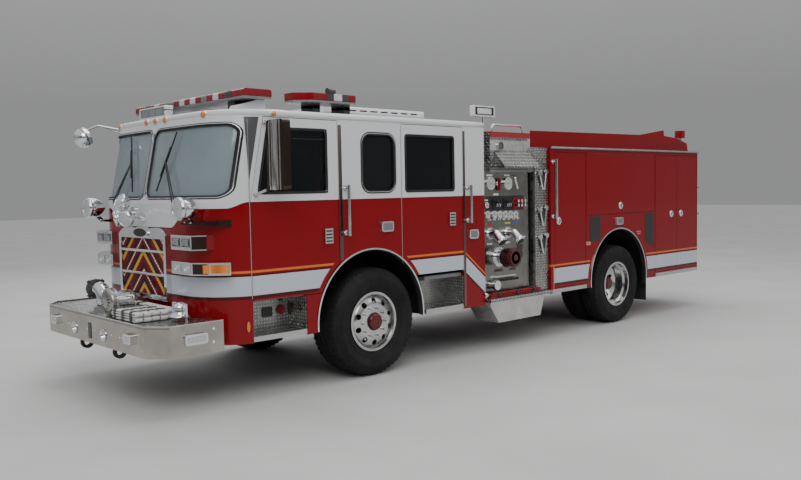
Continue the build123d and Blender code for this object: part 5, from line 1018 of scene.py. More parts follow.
def side_windows():
    """Gaskets, beads and dividers of the side windows, strips at the door posts, seams and latches."""
    for side, name in SIDES:
        mid = Piece("mid_window_gasket_" + name, "rubber_black")
        outline = rounded(*MID_WINDOW, 0.095, 6)
        side_frame(mid, outline, 0.020, 0.012, 0.005, RUBBER, side)
        side_frame(mid, offset_loop(divided(outline, 0.05), 0.005), 0.004, 0.002, 0.008, CHROME, side, -0.002)
        mid.done()

        front = Piece("front_window_gasket_" + name, "rubber_black", "door_front_" + name)
        side_frame(front, [(ahead(x), z) for x, z in DOOR_WINDOW], 0.014, 0.010, 0.004, RUBBER, side)
        front.box(near(1.1775, 0.0125), about(CAB_Y - 0.022, 0.010), (1.856, 2.438), BLACK_PAINT, side)
        front.done()

        crew = Piece("crew_window_gasket_" + name, "rubber_black", "door_crew_" + name)
        side_frame(crew, rounded(*CREW_WINDOW, 0.02, 3), 0.016, 0.010, 0.004, RUBBER, side)
        crew.done()

        posts = Piece("post_strips_" + name, "chrome_trim")
        for middle, half, foot in ((0.438, 0.021, 1.20), (-1.2985, 0.0175, 0.56)):
            # Post strips in the dark brown of a painted dark reflection
            posts.box(near(middle, half), (CAB_Y, CAB_Y + 0.0025), (foot, 2.492), UPRIGHT_STEEL_DARK_REFLECTION, side)
        posts.done(0.001)

        seams = Piece("door_seam_trim_" + name, "grey_trim")
        for middle, foot in ((1.4565, 0.93), (-0.3565, 1.12)):
            seams.box(near(middle, 0.0035), (CAB_Y - 0.001, CAB_Y + 0.0015), (foot, 2.50), SEAM_TRIM, side)
        seams.done(0.0006)

        for door, x, z in (("front", 0.603, 1.442), ("crew", -1.091, 1.538)):
            latch = Piece(f"{door}_door_latch_{name}", "chrome_trim", f"door_{door}_{name}")
            door_latch(latch, ahead(x), z, side)
            latch.done(0.001)


# Tyres: radius of the bead, drop from the crown to the shoulder, shares of the width, half width of a groove
BEAD_R = 0.302
SHOULDER = 0.026
TREAD_SHARE = 0.40
BEAD_SHARE = 0.36
WALL_TURN = 0.6
GROOVE = 0.007
GROOVE_DEPTH = 0.012
FRONT_TYRE = (0.5468, 0.4235, (-0.105, -0.036, 0.036, 0.105), 56)
REAR_TYRE = (0.5278, 0.2925, (-0.066, -0.022, 0.022, 0.066), 52)


def wall_y(width, share):
    """Distance of a side wall from the tyre's middle, at a share of the way from the bead to the shoulder."""
    half, tread, bead = width / 2, width * TREAD_SHARE, width * BEAD_SHARE
    if share > WALL_TURN:
        return half - (half - tread) * ((share - WALL_TURN) / (1 - WALL_TURN)) ** 1.6
    return bead + (half - bead) * math.sin(min(1.0, share * 1.25) * math.pi / 2)


def tyre_section(radius, width, grooves):
    """Closed section of a tyre as (y, radius, tread?), from one bead over the crown to the other and back."""
    tread = width * TREAD_SHARE
    wall = [(wall_y(width, k / 8), BEAD_R + (radius - SHOULDER - BEAD_R) * k / 8, False) for k in range(9)]
    wall += [(tread - 0.004, radius - 0.014, True), (tread - 0.014, radius - 0.008, True)]
    crown = []
    for groove in grooves:
        for off, low in (
            (-GROOVE, 0), (0.002 - GROOVE, GROOVE_DEPTH), (GROOVE - 0.002, GROOVE_DEPTH), (GROOVE, 0),
        ):
            y = groove + off
            crown.append((y, radius - 0.005 * (y / tread) ** 2 - low, True))
    inner = [(width * 0.30, 0.300, False), (-width * 0.30, 0.300, False)]
    return [(-y, r, t) for y, r, t in wall] + sorted(crown) + wall[::-1] + inner


def tyre_form(piece, centre, radius, width, grooves, lugs):
    """Tyre with tread ribs, shoulder notches and two raised rings on each side wall, closed inside."""
    section, tread, rows = tyre_section(radius, width, grooves), width * TREAD_SHARE, []
    for i, (c, s) in enumerate(circle(4 * lugs)):
        first_half, row = i % 4 < 2, []
        for y, r, is_tread in section:
            notch = zig = 0.0
            if is_tread and abs(y) > tread - 0.045 and first_half and r > radius - 0.02:
                notch = 0.010
            elif is_tread and i % 4 == 0 and r > radius - 0.007:
                notch = 0.0035
            if is_tread and abs(y) <= tread - 0.03:
                zig = 0.004 if first_half else -0.004
            row.append((centre[0] + (r - notch) * c, centre[1] + y + zig, centre[2] + (r - notch) * s))
        rows.append(row)
    piece.skin(rows, TYRE, ring=True)
    for side in (1, -1):
        for ring in (0.365, 0.455):
            y = wall_y(width, (ring - BEAD_R) / (radius - SHOULDER - BEAD_R)) - 0.002
            profile = [(ring - 0.006, 0), (ring - 0.004, 0.0045), (ring + 0.004, 0.0045), (ring + 0.006, 0)]
            piece.lathe(profile, (centre[0], centre[1] + side * y, centre[2]), (0, side, 0), TYRE, 72)


def tyres():
    for side, name in SIDES:
        for end, hub, places, size in (
            ("front", (FRONT_X, FRONT_HUB_Z), (1.002,), FRONT_TYRE),
            ("rear", (REAR_X, REAR_HUB_Z), (1.078, 0.746), REAR_TYRE),
        ):
            piece = Piece(f"tread_{end}_{name}", "tyre_rubber", f"wheel_{end}_{name}")
            for y in places:
                tyre_form(piece, (hub[0], side * y, hub[1]), *size)
            piece.done(replaces=(f"tyre_{end}_{name}",))


def arch_linings():
    """Black rubber lips inside the bright wheel arch rings."""
    piece = Piece("arch_linings", "rubber_black")
    for (cx, cz), low, y, inner, outer in (
        (ARCH_FRONT, 5, CAB_Y, 0.676, 0.6845), (ARCH_REAR, -4, BODY_Y, 0.662, 0.6695),
    ):
        back, face = y - 0.045, y + 0.004
        rows = []
        for i in range(49):
            turn = math.radians(low - 8 + (196 - 2 * low) * i / 48)
            section = ((inner, back), (outer, back), (outer, face), (inner, face))
            rows.append([(cx + r * math.cos(turn), y, cz + r * math.sin(turn)) for r, y in section])
        piece.skin(rows, RUBBER, ends=True)
    piece.mirror().done()


def grille_insert():
    """Vertical louvres behind the cross bars, painted in chevrons, and the blank oval badge."""
    piece = Piece("grille_insert", "paint_red")
    half, low, high, x, count = 0.438, 0.936, 1.456, NOSE_X + 0.0205, 68
    rows = []
    for i in range(count + 1):
        y, out = half * (2 * i / count - 1), 0.0 if i % 2 else 0.006
        rows.append([(x + out, y, low), (x + out, y, high), (x - 0.004, y, high), (x - 0.004, y, low)])
    piece.skin(rows, GRILLE_PAINT, ends=True)
    piece.done()

    badge = Piece("blank_badge", "grey_trim")
    for grow, back, face, material in (
        (1.0, 0.036, 0.0535, CHROME), (0.80, 0.053, 0.0550, BLACK_PAINT),
        (0.62, 0.0545, 0.0562, CHASSIS_PAINT),
    ):
        oval = [(0.165 * grow * c, 1.508 + 0.050 * grow * s) for c, s in circle(40)]
        badge.prism(oval, (NOSE_X + back, NOSE_X + face), "X", material)
    badge.done()


HEADLAMP_X = ahead(1.905)
LOWER_LAMP_HALF = 0.028
# Corner lenses behind the lower lamps: start and end along the corner, Z, how far they stand out, finish
CORNER_LENSES = (
    (0.004, 0.184, (1.168, 1.262), 0.0025, CHROME), (0.014, 0.150, (1.178, 1.252), 0.005, AMBER_LENS),
    (0.156, 0.176, (1.178, 1.252), 0.005, AMBER_LENS), (-0.052, 0.004, (1.178, 1.252), 0.004, AMBER_LENS),
)


def headlamps():
    """Lamp units in the chrome housings, corner lenses and the small markers beside them."""
    piece = Piece("headlamps", "glass_dark")

    def layer(outline, back, face, material):
        piece.prism(outline, (HEADLAMP_X + back, HEADLAMP_X + face), "X", material)

    for y in (0.716, 0.890):
        pane = rounded(*about(y, 0.074), *about(1.440, 0.046), 0.012, 4)
        ring = offset_loop(pane, -0.016)
        layer(pane, -0.0045, 0.0005, CHROME)
        layer(offset_loop(pane, -0.007), -0.0040, 0.0022, FLOOD_LENS)
        layer(ring, 0.0015, 0.0048, CHROME)
        layer(offset_loop(ring, -0.004), 0.0040, 0.0062, GREY_LENS)
    for y in (0.716, 0.890):
        pane = rounded(*about(y, 0.074), *about(1.215, 0.038), 0.012, 4)
        layer(pane, -0.0045, 0.0005, CHROME)
        layer(offset_loop(pane, -0.007), -0.0040, 0.0022, FLUTED_LENS)
        bowl, place = LOWER_LAMP_HALF, (HEADLAMP_X + 0.002, y, 1.215)
        for profile, material in (
            ([(bowl, 0.0), (bowl, 0.004), (bowl - 0.004, 0.005), (bowl - 0.006, 0.0)], CHROME),
            ([(TIP, 0.007), (bowl * 0.5, 0.006), (bowl - 0.006, 0.001)], CLEAR_LENS),
        ):
            piece.lathe(profile, place, (1, 0, 0), material, 40)
    a, b = Vector((HEADLAMP_X - 0.090, 1.115)), Vector((HEADLAMP_X - 0.231, 1.240))
    along, out = (b - a).normalized(), Vector((0.66, 0.75))
    out = (out - along * out.dot(along)).normalized()
    for start, end, z, depth, material in CORNER_LENSES:
        p, q = a + along * start, a + along * end
        plan = (p - out * 0.002, q - out * 0.002, q + out * depth, p + out * depth)
        piece.prism([tuple(v) for v in plan], z, "Z", material)
    piece.mirror().done(0.0008)

    marker = Piece("nose_side_markers", "lamp_red")
    outline = [(ahead(1.505) + 0.016 * c, 0.690 + 0.048 * s) for c, s in circle(28)]
    marker.prism(outline, (CAB_Y - 0.002, CAB_Y + 0.006), "Y", AMBER_LENS)
    marker.mirror().done(0.002)


# Parts of a round lamp's face: profile, finish
SPOT_LAMP = (
    ([(0.084, -0.002), (0.084, 0.003), (0.093, 0.006), (0.098, 0.002), (0.098, -0.004)], CHROME),
    ([(TIP, 0.010), (0.03, 0.0092), (0.06, 0.006), (0.085, 0.0005)], FLUTED_LENS),
    ([(0.014, 0.0105), (0.018, 0.0125), (0.022, 0.0105)], CHROME),
)
BEACON_LAMP = (
    ([(0.058, -0.002), (0.058, 0.003), (0.066, 0.005), (0.071, 0.001), (0.071, -0.003)], CHROME),
    ([(TIP, 0.012), (0.03, 0.009), (0.059, 0.0005)], FLUTED_LENS),
    ([(0.008, 0.0115), (0.011, 0.014), (0.015, 0.0105)], CHROME),
)


def spot_lamps():
    """Lenses of the two spot lamps and of the turning beacon, and bolts of the lamps' brackets."""
    piece = Piece("spot_lamp_lenses", "glass_dark")
    for profile, material in SPOT_LAMP:
        piece.lathe(profile, at(2.012, 0.962, 1.738), (1, 0, 0), material, 40)
    for x, y in ((1.90, 0.88), (1.90, 0.98), (1.80, 1.05)):
        bolt = [(0.011, 0), (0.011, 0.005), (0.006, 0.008), (TIP, 0.008)]
        piece.lathe(bolt, at(x, y, 1.6125), (0, 0, 1), CHROME, 12)
    piece.mirror().done()

    head = Piece("beacon_lenses", "glass_dark", "beacon_head")
    for i in range(3):
        turn = Matrix.Rotation(math.radians(90 + 120 * i), 4, "X")
        centre = turn @ Vector((0.055, 0.118, 0)) + Vector((BEACON_X, 0, BEACON_Z))
        axis = turn @ Vector((math.sin(math.radians(60)), math.cos(math.radians(60)), 0))
        for profile, material in BEACON_LAMP:
            head.lathe(profile, centre, axis, material)
    head.done()


EAVES_Z = 2.545
BROW_Z = 2.579
MARKER_Z = 2.562
# Section of the roof's edge, from the eaves up: distance outside the walls, height
ROOF_EDGE = (
    (-0.030, 2.570), (0.000, EAVES_Z), (0.006, 2.546), (0.009, 2.552), (0.010, 2.566), (0.007, 2.580),
    (-0.002, 2.591), (-0.016, 2.598),
)
CROWN = 0.062
CROWN_X = (ahead(0.95), ahead(1.64))
SPINE_X = (CAB_BACK + 0.70, ahead(0.70))
RIM_SHARE = 0.984


def roof_height(x, y):
    """Height of the crowned roof, which falls away to a low brow above the windscreen."""
    share = min(1.0, max(0.0, (CROWN_X[1] - x) / (CROWN_X[1] - CROWN_X[0])))
    fall = share * share * (3 - 2 * share)
    return ROOF_EDGE[-1][1] + 0.003 + CROWN * fall * (1 - min(1.0, abs(y) / CAB_Y) ** 2)


def roof_shell():
    """White roof cap with a rolled rain lip along the eaves, a raised crown and a low brow."""
    front = [CAB_Y * math.sin(math.radians(a)) for a in range(-90, 91, 5)]
    plan = [(nose_x(y, BROW_Z), y) for y in front]
    first, last = plan[0][0], plan[-1][0]
    plan += [(last + (CAB_BACK - last) * k / 16, CAB_Y) for k in range(1, 17)]
    plan += [(CAB_BACK, CAB_Y - 2 * CAB_Y * k / 16) for k in range(1, 17)]
    plan += [(CAB_BACK + (first - CAB_BACK) * k / 16, -CAB_Y) for k in range(1, 16)]
    rings = [[(x, y, z) for x, y in offset_loop(plan, out)] for out, z in ROOF_EDGE]
    rim = rings[-1]
    for step in range(15):
        share, ring = RIM_SHARE * (1 - (step / 14) ** 1.5), []
        for x, y, _ in rim:
            spine = min(SPINE_X[1], max(SPINE_X[0], x))
            px, py = spine + (x - spine) * share, y * share
            ring.append((px, py, roof_height(px, py)))
        rings.append(ring)
    shell = Piece("roof_shell", "paint_white")
    shell.skin(rings, PAINT_WHITE, True)
    shell.faces(rings[0], [tuple(range(len(plan)))[::-1]], GREY_TRIM)
    shell.done(replaces=("cab_roof",))


# Sides of the floodlight's well, each by its limits of Y and Z
FLOOD_WELL = (
    ((-0.692, -0.138), (2.596, 2.640)), ((-0.692, -0.676), (2.64, 2.684)), ((-0.154, -0.138), (2.64, 2.684)),
)


def roof_mounts():
    """Feet, pads and skirts that carry the roof equipment on the crowned roof."""
    piece = Piece("roof_mounts", "paint_white")
    wedge = [(1.120, 2.602), (1.120, 2.7062), (1.200, 2.7062), (1.400, 2.650), (1.425, 2.602)]
    for side in (1, -1):
        piece.prism([(ahead(x), z) for x, z in wedge], (side * 0.860, side * 1.000), "Y", PAINT_WHITE)
        for x, y, half, reach in (
            (1.241, 0.780, 0.100, 0.060), (0.190, 0.940, 0.040, 0.100), (0.560, 0.940, 0.040, 0.100),
        ):
            low = roof_height(ahead(x), y) - 0.012
            piece.box(near(x, half), about(y, reach), (low, 2.690), BLACK_PAINT, side)
    skirt = rounded(ahead(-1.278), ahead(0.071), -0.608, 0.608, 0.05, 4)
    piece.prism(skirt, (2.620, 2.700), "Z", PAINT_WHITE)
    for x, y, low, high, radius, material in (
        (1.0, 0.600, 2.610, 2.704, 0.0235, BLACK_PAINT), (0.35, 0.0, 2.650, 2.702, 0.039, CHROME),
    ):
        profile = [(TIP / 10, 0), (radius, 0), (radius, high - low), (TIP / 10, high - low)]
        piece.lathe(profile, at(x, y, low), (0, 0, 1), material, 20)
    piece.box((ahead(1.442), ahead(1.5205)), (-0.690, -0.140), (2.590, 2.690), PAINT_WHITE)
    for y, z in FLOOD_WELL:
        piece.box((ahead(1.500), ahead(1.530)), y, z, PAINT_WHITE)
    piece.done(0.003)


def roof_lamps():
    """Markers on the brow and the eaves, and the lens parts of the floodlight and of the scene light."""
    piece = Piece("roof_markers", "lamp_red")
    for y in (-0.85, -0.19, 0.0, 0.19, 0.85):
        base = Vector((nose_x(y, BROW_Z) + 0.009, y, MARKER_Z))
        normal = on_nose(y, 2.0, 0.1) - on_nose(y, 2.0)
        normal.z = 0
        piece.lathe([(0.034, -0.004), (0.034, 0.004), (0.030, 0.006)], base, normal, CHROME, 24)
        lens = [(0.028, 0.004), (0.026, 0.016), (0.016, 0.023), (TIP, 0.025)]
        piece.lathe(lens, base, normal, AMBER_LENS, 24)
    for side in (1, -1):
        place = at(1.19, side * (CAB_Y + 0.009), MARKER_Z)
        piece.lathe([(0.030, -0.004), (0.030, 0.004), (0.026, 0.006)], place, (0, side, 0), CHROME, 24)
        piece.lathe([(0.024, 0.004), (0.022, 0.014), (TIP, 0.022)], place, (0, side, 0), AMBER_LENS, 24)
    piece.done()

    flood = Piece("floodlight_lenses", "glass_dark")
    window = rounded(-0.672, -0.158, 2.644, 2.720, 0.008, 3)
    flood.prism(window, (ahead(1.522), ahead(1.5265)), "X", FLOOD_LENS)
    for y in (-0.56, -0.415, -0.27):
        pane = rounded(*about(y, 0.058), 2.650, 2.714, 0.010, 3)
        flood.prism(pane, (ahead(1.5262), ahead(1.5285)), "X", GREY_LENS)
    pane = rounded(ahead(-1.984), ahead(-1.756), 2.724, 2.782, 0.008, 3)
    flood.prism(pane, (1.0315, 1.0345), "Y", CLEAR_LENS)
    for k in range(6):
        x = ahead(-1.97 + 0.04 * k)
        flood.prism(rounded(x, x + 0.004, 2.712, 2.794, 0.001, 1), (1.0255, 1.0285), "Y", CHROME)
    flood.done()


def bumper_details():
    """Lenses, bolts and plaque of the bumper, and the suction cap's face."""
    piece = Piece("bumper_lamps", "glass_dark")
    for y in (0.794, -0.854):
        pane = rounded(*about(y, 0.060), 0.620, 0.692, 0.012, 4)
        piece.prism(pane, (BUMPER_X + 0.0335, BUMPER_X + 0.0342), "X", CHROME)
        piece.prism(offset_loop(pane, -0.009), (BUMPER_X + 0.0337, BUMPER_X + 0.0345), "X", FLUTED_LENS)
    pane = rounded(ahead(1.928), ahead(2.118), 0.618, 0.694, 0.020, 5)
    for side in (1, -1):
        for outline, low, high, material in (
            (pane, 0.0255, 0.0272, CHROME), (offset_loop(pane, -0.012), 0.0268, 0.0300, FLUTED_LENS),
        ):
            piece.prism(outline, (side * (CAB_Y + low), side * (CAB_Y + high)), "Y", material)
    piece.done(0.0008)

    trim = Piece("bumper_bolts", "chrome_trim")
    for side in (1, -1):
        for x, z in ((1.848, 0.716), (1.851, 0.602)):
            dome = [(0.017, 0), (0.017, 0.003), (0.011, 0.009), (TIP, 0.011)]
            trim.lathe(dome, at(x, side * CAB_Y, z), (0, side, 0), CHROME, 16)
    for places, z, profile, segments in (
        ((-0.545, -0.11, 0.05, 0.41, 0.58, 0.63), 0.640, [(0.010, 0), (0.010, 0.003), (TIP, 0.007)], 12),
        ((-0.404, 0.247), 0.622, [(0.058, 0.0065), (0.056, 0.010), (0.050, 0.010), (0.047, 0.006)], 36),
        ((-0.404, 0.247), 0.622, [(TIP, -0.018), (0.010, -0.020), (0.013, -0.040)], 20),
    ):
        for y in places:
            trim.lathe(profile, (BUMPER_X, y, z), (1, 0, 0), CHROME, segments)
    trim.done()

    plaque = Piece("bumper_plaque", "grey_trim")
    for grow, depth, material in ((0, 0.0025, BLACK_PAINT), (-0.007, 0.0035, GREY_TRIM)):
        outline = offset_loop(rounded(-0.085, -0.015, 0.560, 0.705, 0.006, 3), grow)
        plaque.prism(outline, (BUMPER_X - 0.001, BUMPER_X + depth), "X", material)
    plaque.done()

    cap = Piece("suction_cap_face", "steel_panel")
    centre = at(2.110, -0.595, 0.953)
    profile = [
        (0.088, -0.002), (0.086, 0.006), (0.066, 0.008), (0.062, 0.002), (0.026, 0.002), (0.022, 0.010),
        (TIP, 0.011),
    ]
    cap.lathe(profile, centre, (0, -1, 0), STEEL, 40)
    for c, s in circle(16):
        p = centre + Vector((0.0905 * c, 0.056, 0.0905 * s))
        cap.tube([p, p + Vector((0, -0.052, 0))], 0.005, CAST_BLACK, 6)
    cap.done()


HOSE_LAYERS = 4
HOSE_PITCH = 0.0225
HOSE_Z = 0.7745
# Packs of folded hose on the deck: X of the near edge, limits of Y, width
HOSE_PACKS = (
    (4.212, 0.283, 0.782, 0.070), (4.288, 0.290, 0.774, 0.070), (4.364, 0.284, 0.780, 0.070),
    (4.440, 0.292, 0.770, 0.070), (4.094, -0.240, 0.728, 0.100),
)


def strap_loop(piece, x, y, low, high, width, thick=0.003):
    """Webbing round a pack: a closed band in the XZ plane."""
    outer = rounded(x[0] - thick, x[1] + thick, low, high + thick, 0.014, 3)
    inner = rounded(*x, low + thick, high, 0.012, 3)
    rows = [[(a, y + end * width / 2, b) for a, b in loop]
            for loop, end in ((outer, -1), (outer, 1), (inner, 1), (inner, -1))]
    piece.skin(rows, STRAP_BLACK, ring=True)


def folded_hose():
    """Flat hose folded back and forth in strapped packs on the bumper deck."""
    piece = Piece("folded_hose", "hose_jacket")
    for column, (x, y0, y1, width) in enumerate(HOSE_PACKS):
        route, middle = [], x + width / 2
        for layer in range(HOSE_LAYERS):
            z = HOSE_Z + HOSE_PITCH * (layer + 0.5)
            start, end = (y0 + 0.012, y1 - 0.012)[::-1 if layer % 2 else 1]
            for i in range(11):
                y = start + (end - start) * i / 10
                wave = 0.0022 * math.sin(9.0 * y + 1.7 * layer + column)
                rise = 0.0010 * math.sin(14.0 * y + column * 2.0 + layer)
                route.append(Vector((middle + wave, y, z + rise)))
            if layer < HOSE_LAYERS - 1:
                side = math.copysign(HOSE_PITCH / 2, end - start)
                for a in (math.radians(angle) for angle in (-45, 0, 45)):
                    up = HOSE_PITCH / 2 * (1 + math.sin(a))
                    route.append(Vector((middle, end + side * math.cos(a), z + up)))
        piece.flat_hose(route, width, 0.0195, HOSE_WHITE)
    piece.done(replaces=("bumper_hose",))

    straps = Piece("hose_straps", "seat_fabric")
    top = HOSE_Z + HOSE_LAYERS * HOSE_PITCH + 0.003
    for x, places in (((4.205, 4.516), (0.37, 0.53, 0.69)), ((4.089, 4.199), (-0.10, 0.16))):
        for y in places:
            strap_loop(straps, x, y, DECK_Z, top, 0.038)
    straps.done(0.0006)


# Gauges of the pump panel: X from the front axle, Z, radius, how far the boss stands out, colour of the zone
DIALS = (
    (-1.804, 1.917, 0.074, 0.026, LABEL_WHITE), (-2.114, 1.914, 0.074, 0.026, LABEL_WHITE),
    (-1.754, 1.560, 0.044, 0.018, LABEL_RED), (-1.874, 1.558, 0.044, 0.018, LABEL_GREEN),
    (-1.970, 1.555, 0.044, 0.018, LABEL_YELLOW), (-2.066, 1.552, 0.044, 0.018, LABEL_BLUE),
    (-2.162, 1.549, 0.044, 0.018, LABEL_RED), (-2.258, 1.546, 0.044, 0.018, LABEL_GREEN),
    (-1.745, 1.669, 0.036, 0.014, LABEL_WHITE),
)
# Section of a gauge's rim: radius beyond the gauge's own, height
DIAL_RIM = ((-0.010, 0.003), (-0.006, 0.0062), (-0.001, 0.0052), (0.0006, 0.001))


def dial(piece, index, x, z, radius, depth, zone):
    """One gauge: face, rim, ticks over three quarters of a turn, needle, hub and coloured zone."""
    cx, y = ahead(x), PANEL_Y + depth - 0.004
    face = radius - 0.0095

    def hand(degrees, points, low, high, material):
        c, s = math.cos(math.radians(degrees)), math.sin(math.radians(degrees))
        outline = [(cx - (r * c - w * s), z + r * s + w * c) for r, w in points]
        piece.prism(outline, (y + low, y + high), "Y", material)

    turned = ((cx, y, z), (0, 1, 0))
    piece.lathe([(TIP, 0.0), (TIP, 0.0018), (face, 0.0018), (face, 0.0)], *turned, GAUGE_FACE, 40, False)
    rim = [(radius + r, depth) for r, depth in DIAL_RIM]
    piece.lathe(rim, *turned, CHROME, 40)
    r0, r1, half = face * 0.76, face * 0.92, radius * 0.018
    for k in range(11):
        tick = ((r0, -half), (r1, -half), (r1, half), (r0, half))
        hand(225 - 27 * k, tick, 0.0015, 0.0024, BLACK_PAINT)
    needle = ((-face * 0.2, -0.0018), (face * 0.7, -0.0006), (face * 0.7, 0.0006), (-face * 0.2, 0.0018))
    hand(200 - 26 * index % 90, needle, 0.0024, 0.0034, BLACK_PAINT)
    piece.lathe([(0.006, 0.002), (0.006, 0.0045), (TIP, 0.005)], *turned, BLACK_PAINT, 12)
    arc = [(face * 0.40, math.radians(60 + 6 * k)) for k in range(11)]
    arc += [(face * 0.52, math.radians(120 - 6 * k)) for k in range(11)]
    outline = [(cx - r * math.cos(t), z + r * math.sin(t)) for r, t in arc]
    piece.prism(outline, (y + 0.0014, y + 0.0022), "Y", zone)


def gauges():
    """The gauges, and bars of the panel's loudspeaker."""
    piece = Piece("gauges", "paint_white")
    for index, row in enumerate(DIALS):
        dial(piece, index, *row)
    for k in range(-3, 4):
        half = math.sqrt(0.042 ** 2 - (k * 0.012) ** 2)
        limits = (PANEL_Y + 0.018, PANEL_Y + 0.0235)
        piece.box(near(-1.990, half), limits, about(2.352 + k * 0.012, 0.003), BLACK_PAINT)
    piece.mirror().done()


# Blank label plates of the pump panel: X from the front axle, Z, half width, half height, finish
PLATES = (
    (-1.804, 2.010, 0.050, 0.010, LABEL_WHITE), (-2.114, 2.010, 0.050, 0.010, LABEL_WHITE),
    (-1.915, 1.790, 0.045, 0.011, LABEL_WHITE), (-1.745, 1.725, 0.030, 0.008, LABEL_WHITE),
    (-1.795, 1.452, 0.052, 0.012, LABEL_RED), (-1.980, 1.452, 0.052, 0.012, LABEL_GREEN),
    (-2.115, 1.452, 0.052, 0.012, LABEL_YELLOW), (-2.260, 1.452, 0.052, 0.012, LABEL_BLUE),
    (-1.795, 1.222, 0.045, 0.010, LABEL_WHITE), (-2.115, 1.222, 0.045, 0.010, LABEL_WHITE),
    (-1.947, 0.905, 0.075, 0.016, BRONZE), (-2.200, 0.905, 0.060, 0.016, BRONZE),
    (-2.072, 0.830, 0.190, 0.008, LABEL_WHITE), (-1.835, 0.838, 0.040, 0.009, LABEL_WHITE),
    (-2.340, 1.110, 0.055, 0.080, BRONZE), (-1.775, 1.120, 0.040, 0.014, LABEL_WHITE),
)
OUT = (0, 1, 0)


def panel_labels():
    piece = Piece("panel_labels", "paint_white")
    for x, z, half, height, material in PLATES:
        outline = rounded(*near(x, half), *about(z, height), min(height * 0.6, 0.006), 2)
        piece.prism(outline, (PANEL_Y - 0.0005, PANEL_Y + 0.0022), "Y", material)
        for sx in (0.005 - half, half - 0.005):
            screw = [(0.0028, 0), (0.0028, 0.001), (TIP, 0.0022)]
            piece.lathe(screw, at(x + sx, PANEL_Y + 0.002, z), OUT, CHROME, 8)
    piece.mirror().done(0.0005)


def panel_levers():
    """Levers with their knobs, switch caps, the pull handle, the drain elbow and the row of drain knobs."""
    piece = Piece("panel_levers", "chrome_trim")
    for x in (-1.915, -2.105):
        for sx in (-0.030, 0.0, 0.030):
            foot = at(x + sx, PANEL_Y + 0.008, 1.640)
            bend, top = foot + Vector((0, 0.030, 0.010)), foot + Vector((0, 0.042, 0.052))
            piece.tube([foot, bend, top], 0.0045, CHROME, 8)
            knob = [(TIP, -0.010), (0.008, -0.008), (0.010, 0.0), (0.008, 0.008), (TIP, 0.010)]
            piece.lathe(knob, foot + Vector((0, 0.042, 0.056)), (0, 0, 1), BLACK_PAINT, 12)
    for z in (1.705, 1.655):
        for x in (-2.250, -2.312, -2.374):
            switch = [(0.0172, -0.002), (0.0180, 0.003), (0.012, 0.006), (TIP, 0.0065)]
            piece.lathe(switch, at(x, PANEL_Y + 0.065, z), OUT, CHROME, 16)
    boss = [(0.030, 0), (0.030, 0.008), (0.020, 0.014), (TIP, 0.014)]
    piece.lathe(boss, at(-1.950, PANEL_Y, 1.915), OUT, CHROME, 24)
    piece.box(near(-1.950, 0.011), (PANEL_Y + 0.012, PANEL_Y + 0.034), (1.835, 1.977), PAINT_RED)
    elbow = ((-2.205, -0.002, 1.992), (-2.205, 0.036, 1.990), (-2.209, 0.050, 1.975), (-2.209, 0.050, 1.965),
             (-2.235, 0.050, 1.890), (-2.245, 0.050, 1.850))
    piece.tube([at(x, PANEL_Y + y, z) for x, y, z in elbow], 0.015, CHROME, 14)
    for k in range(7):
        drain = [(0.016, 0), (0.016, 0.006), (0.010, 0.010), (0.010, 0.022), (TIP, 0.024)]
        piece.lathe(drain, at(-1.790 - 0.085 * k, PANEL_Y, 1.500), OUT, CHROME, 16)
    piece.mirror().done(0.0006)


def panel_caps():
    """Caps of the two outlets, and the big intake's cap with its grip ribs."""
    caps = Piece("outlet_caps", "paint_red")
    axis, across = Vector((0, 1, -1)).normalized(), Vector((1, 0, 0))
    for x, z in ((-1.795, 1.345), (-2.115, 1.340)):
        tip = at(x, PANEL_Y + 0.196, z - 0.096)
        skirt = [(0.0605, -0.030), (0.0625, -0.026), (0.0625, -0.006), (0.0600, 0.0), (0.046, 0.0015)]
        caps.lathe(skirt, tip, axis, CHROME, 32)
        caps.lathe([(TIP, 0.005), (0.030, 0.004), (0.046, 0.001)], tip, axis, CAST_BLACK, 32)
        for c, s in circle(3):
            side = across * c + axis.cross(across) * s
            foot = tip - axis * 0.016 + side * 0.058
            caps.tube([foot, foot + side * 0.016], 0.008, CHROME, 8)
    caps.mirror().done()

    intake = Piece("intake_cap_face", "paint_red")
    centre = at(-1.947, PANEL_Y + 0.260, 1.065)
    face = [
        (0.100, -0.001), (0.097, 0.004), (0.078, 0.004), (0.074, 0.000), (0.034, 0.000), (0.028, 0.010),
        (TIP, 0.011),
    ]
    intake.lathe(face, centre, OUT, CAP_PAINT, 44)
    for c, s in circle(24):
        p = centre + Vector((0.1005 * c, -0.012, 0.1005 * s))
        intake.tube([p, p + Vector((0, -0.130, 0))], 0.0045, CAP_PAINT, 6)
    collar = [(0.088, -0.165), (0.094, -0.163), (0.094, -0.176), (0.088, -0.178)]
    intake.lathe(collar, centre, OUT, CHROME, 40)
    intake.mirror().done()


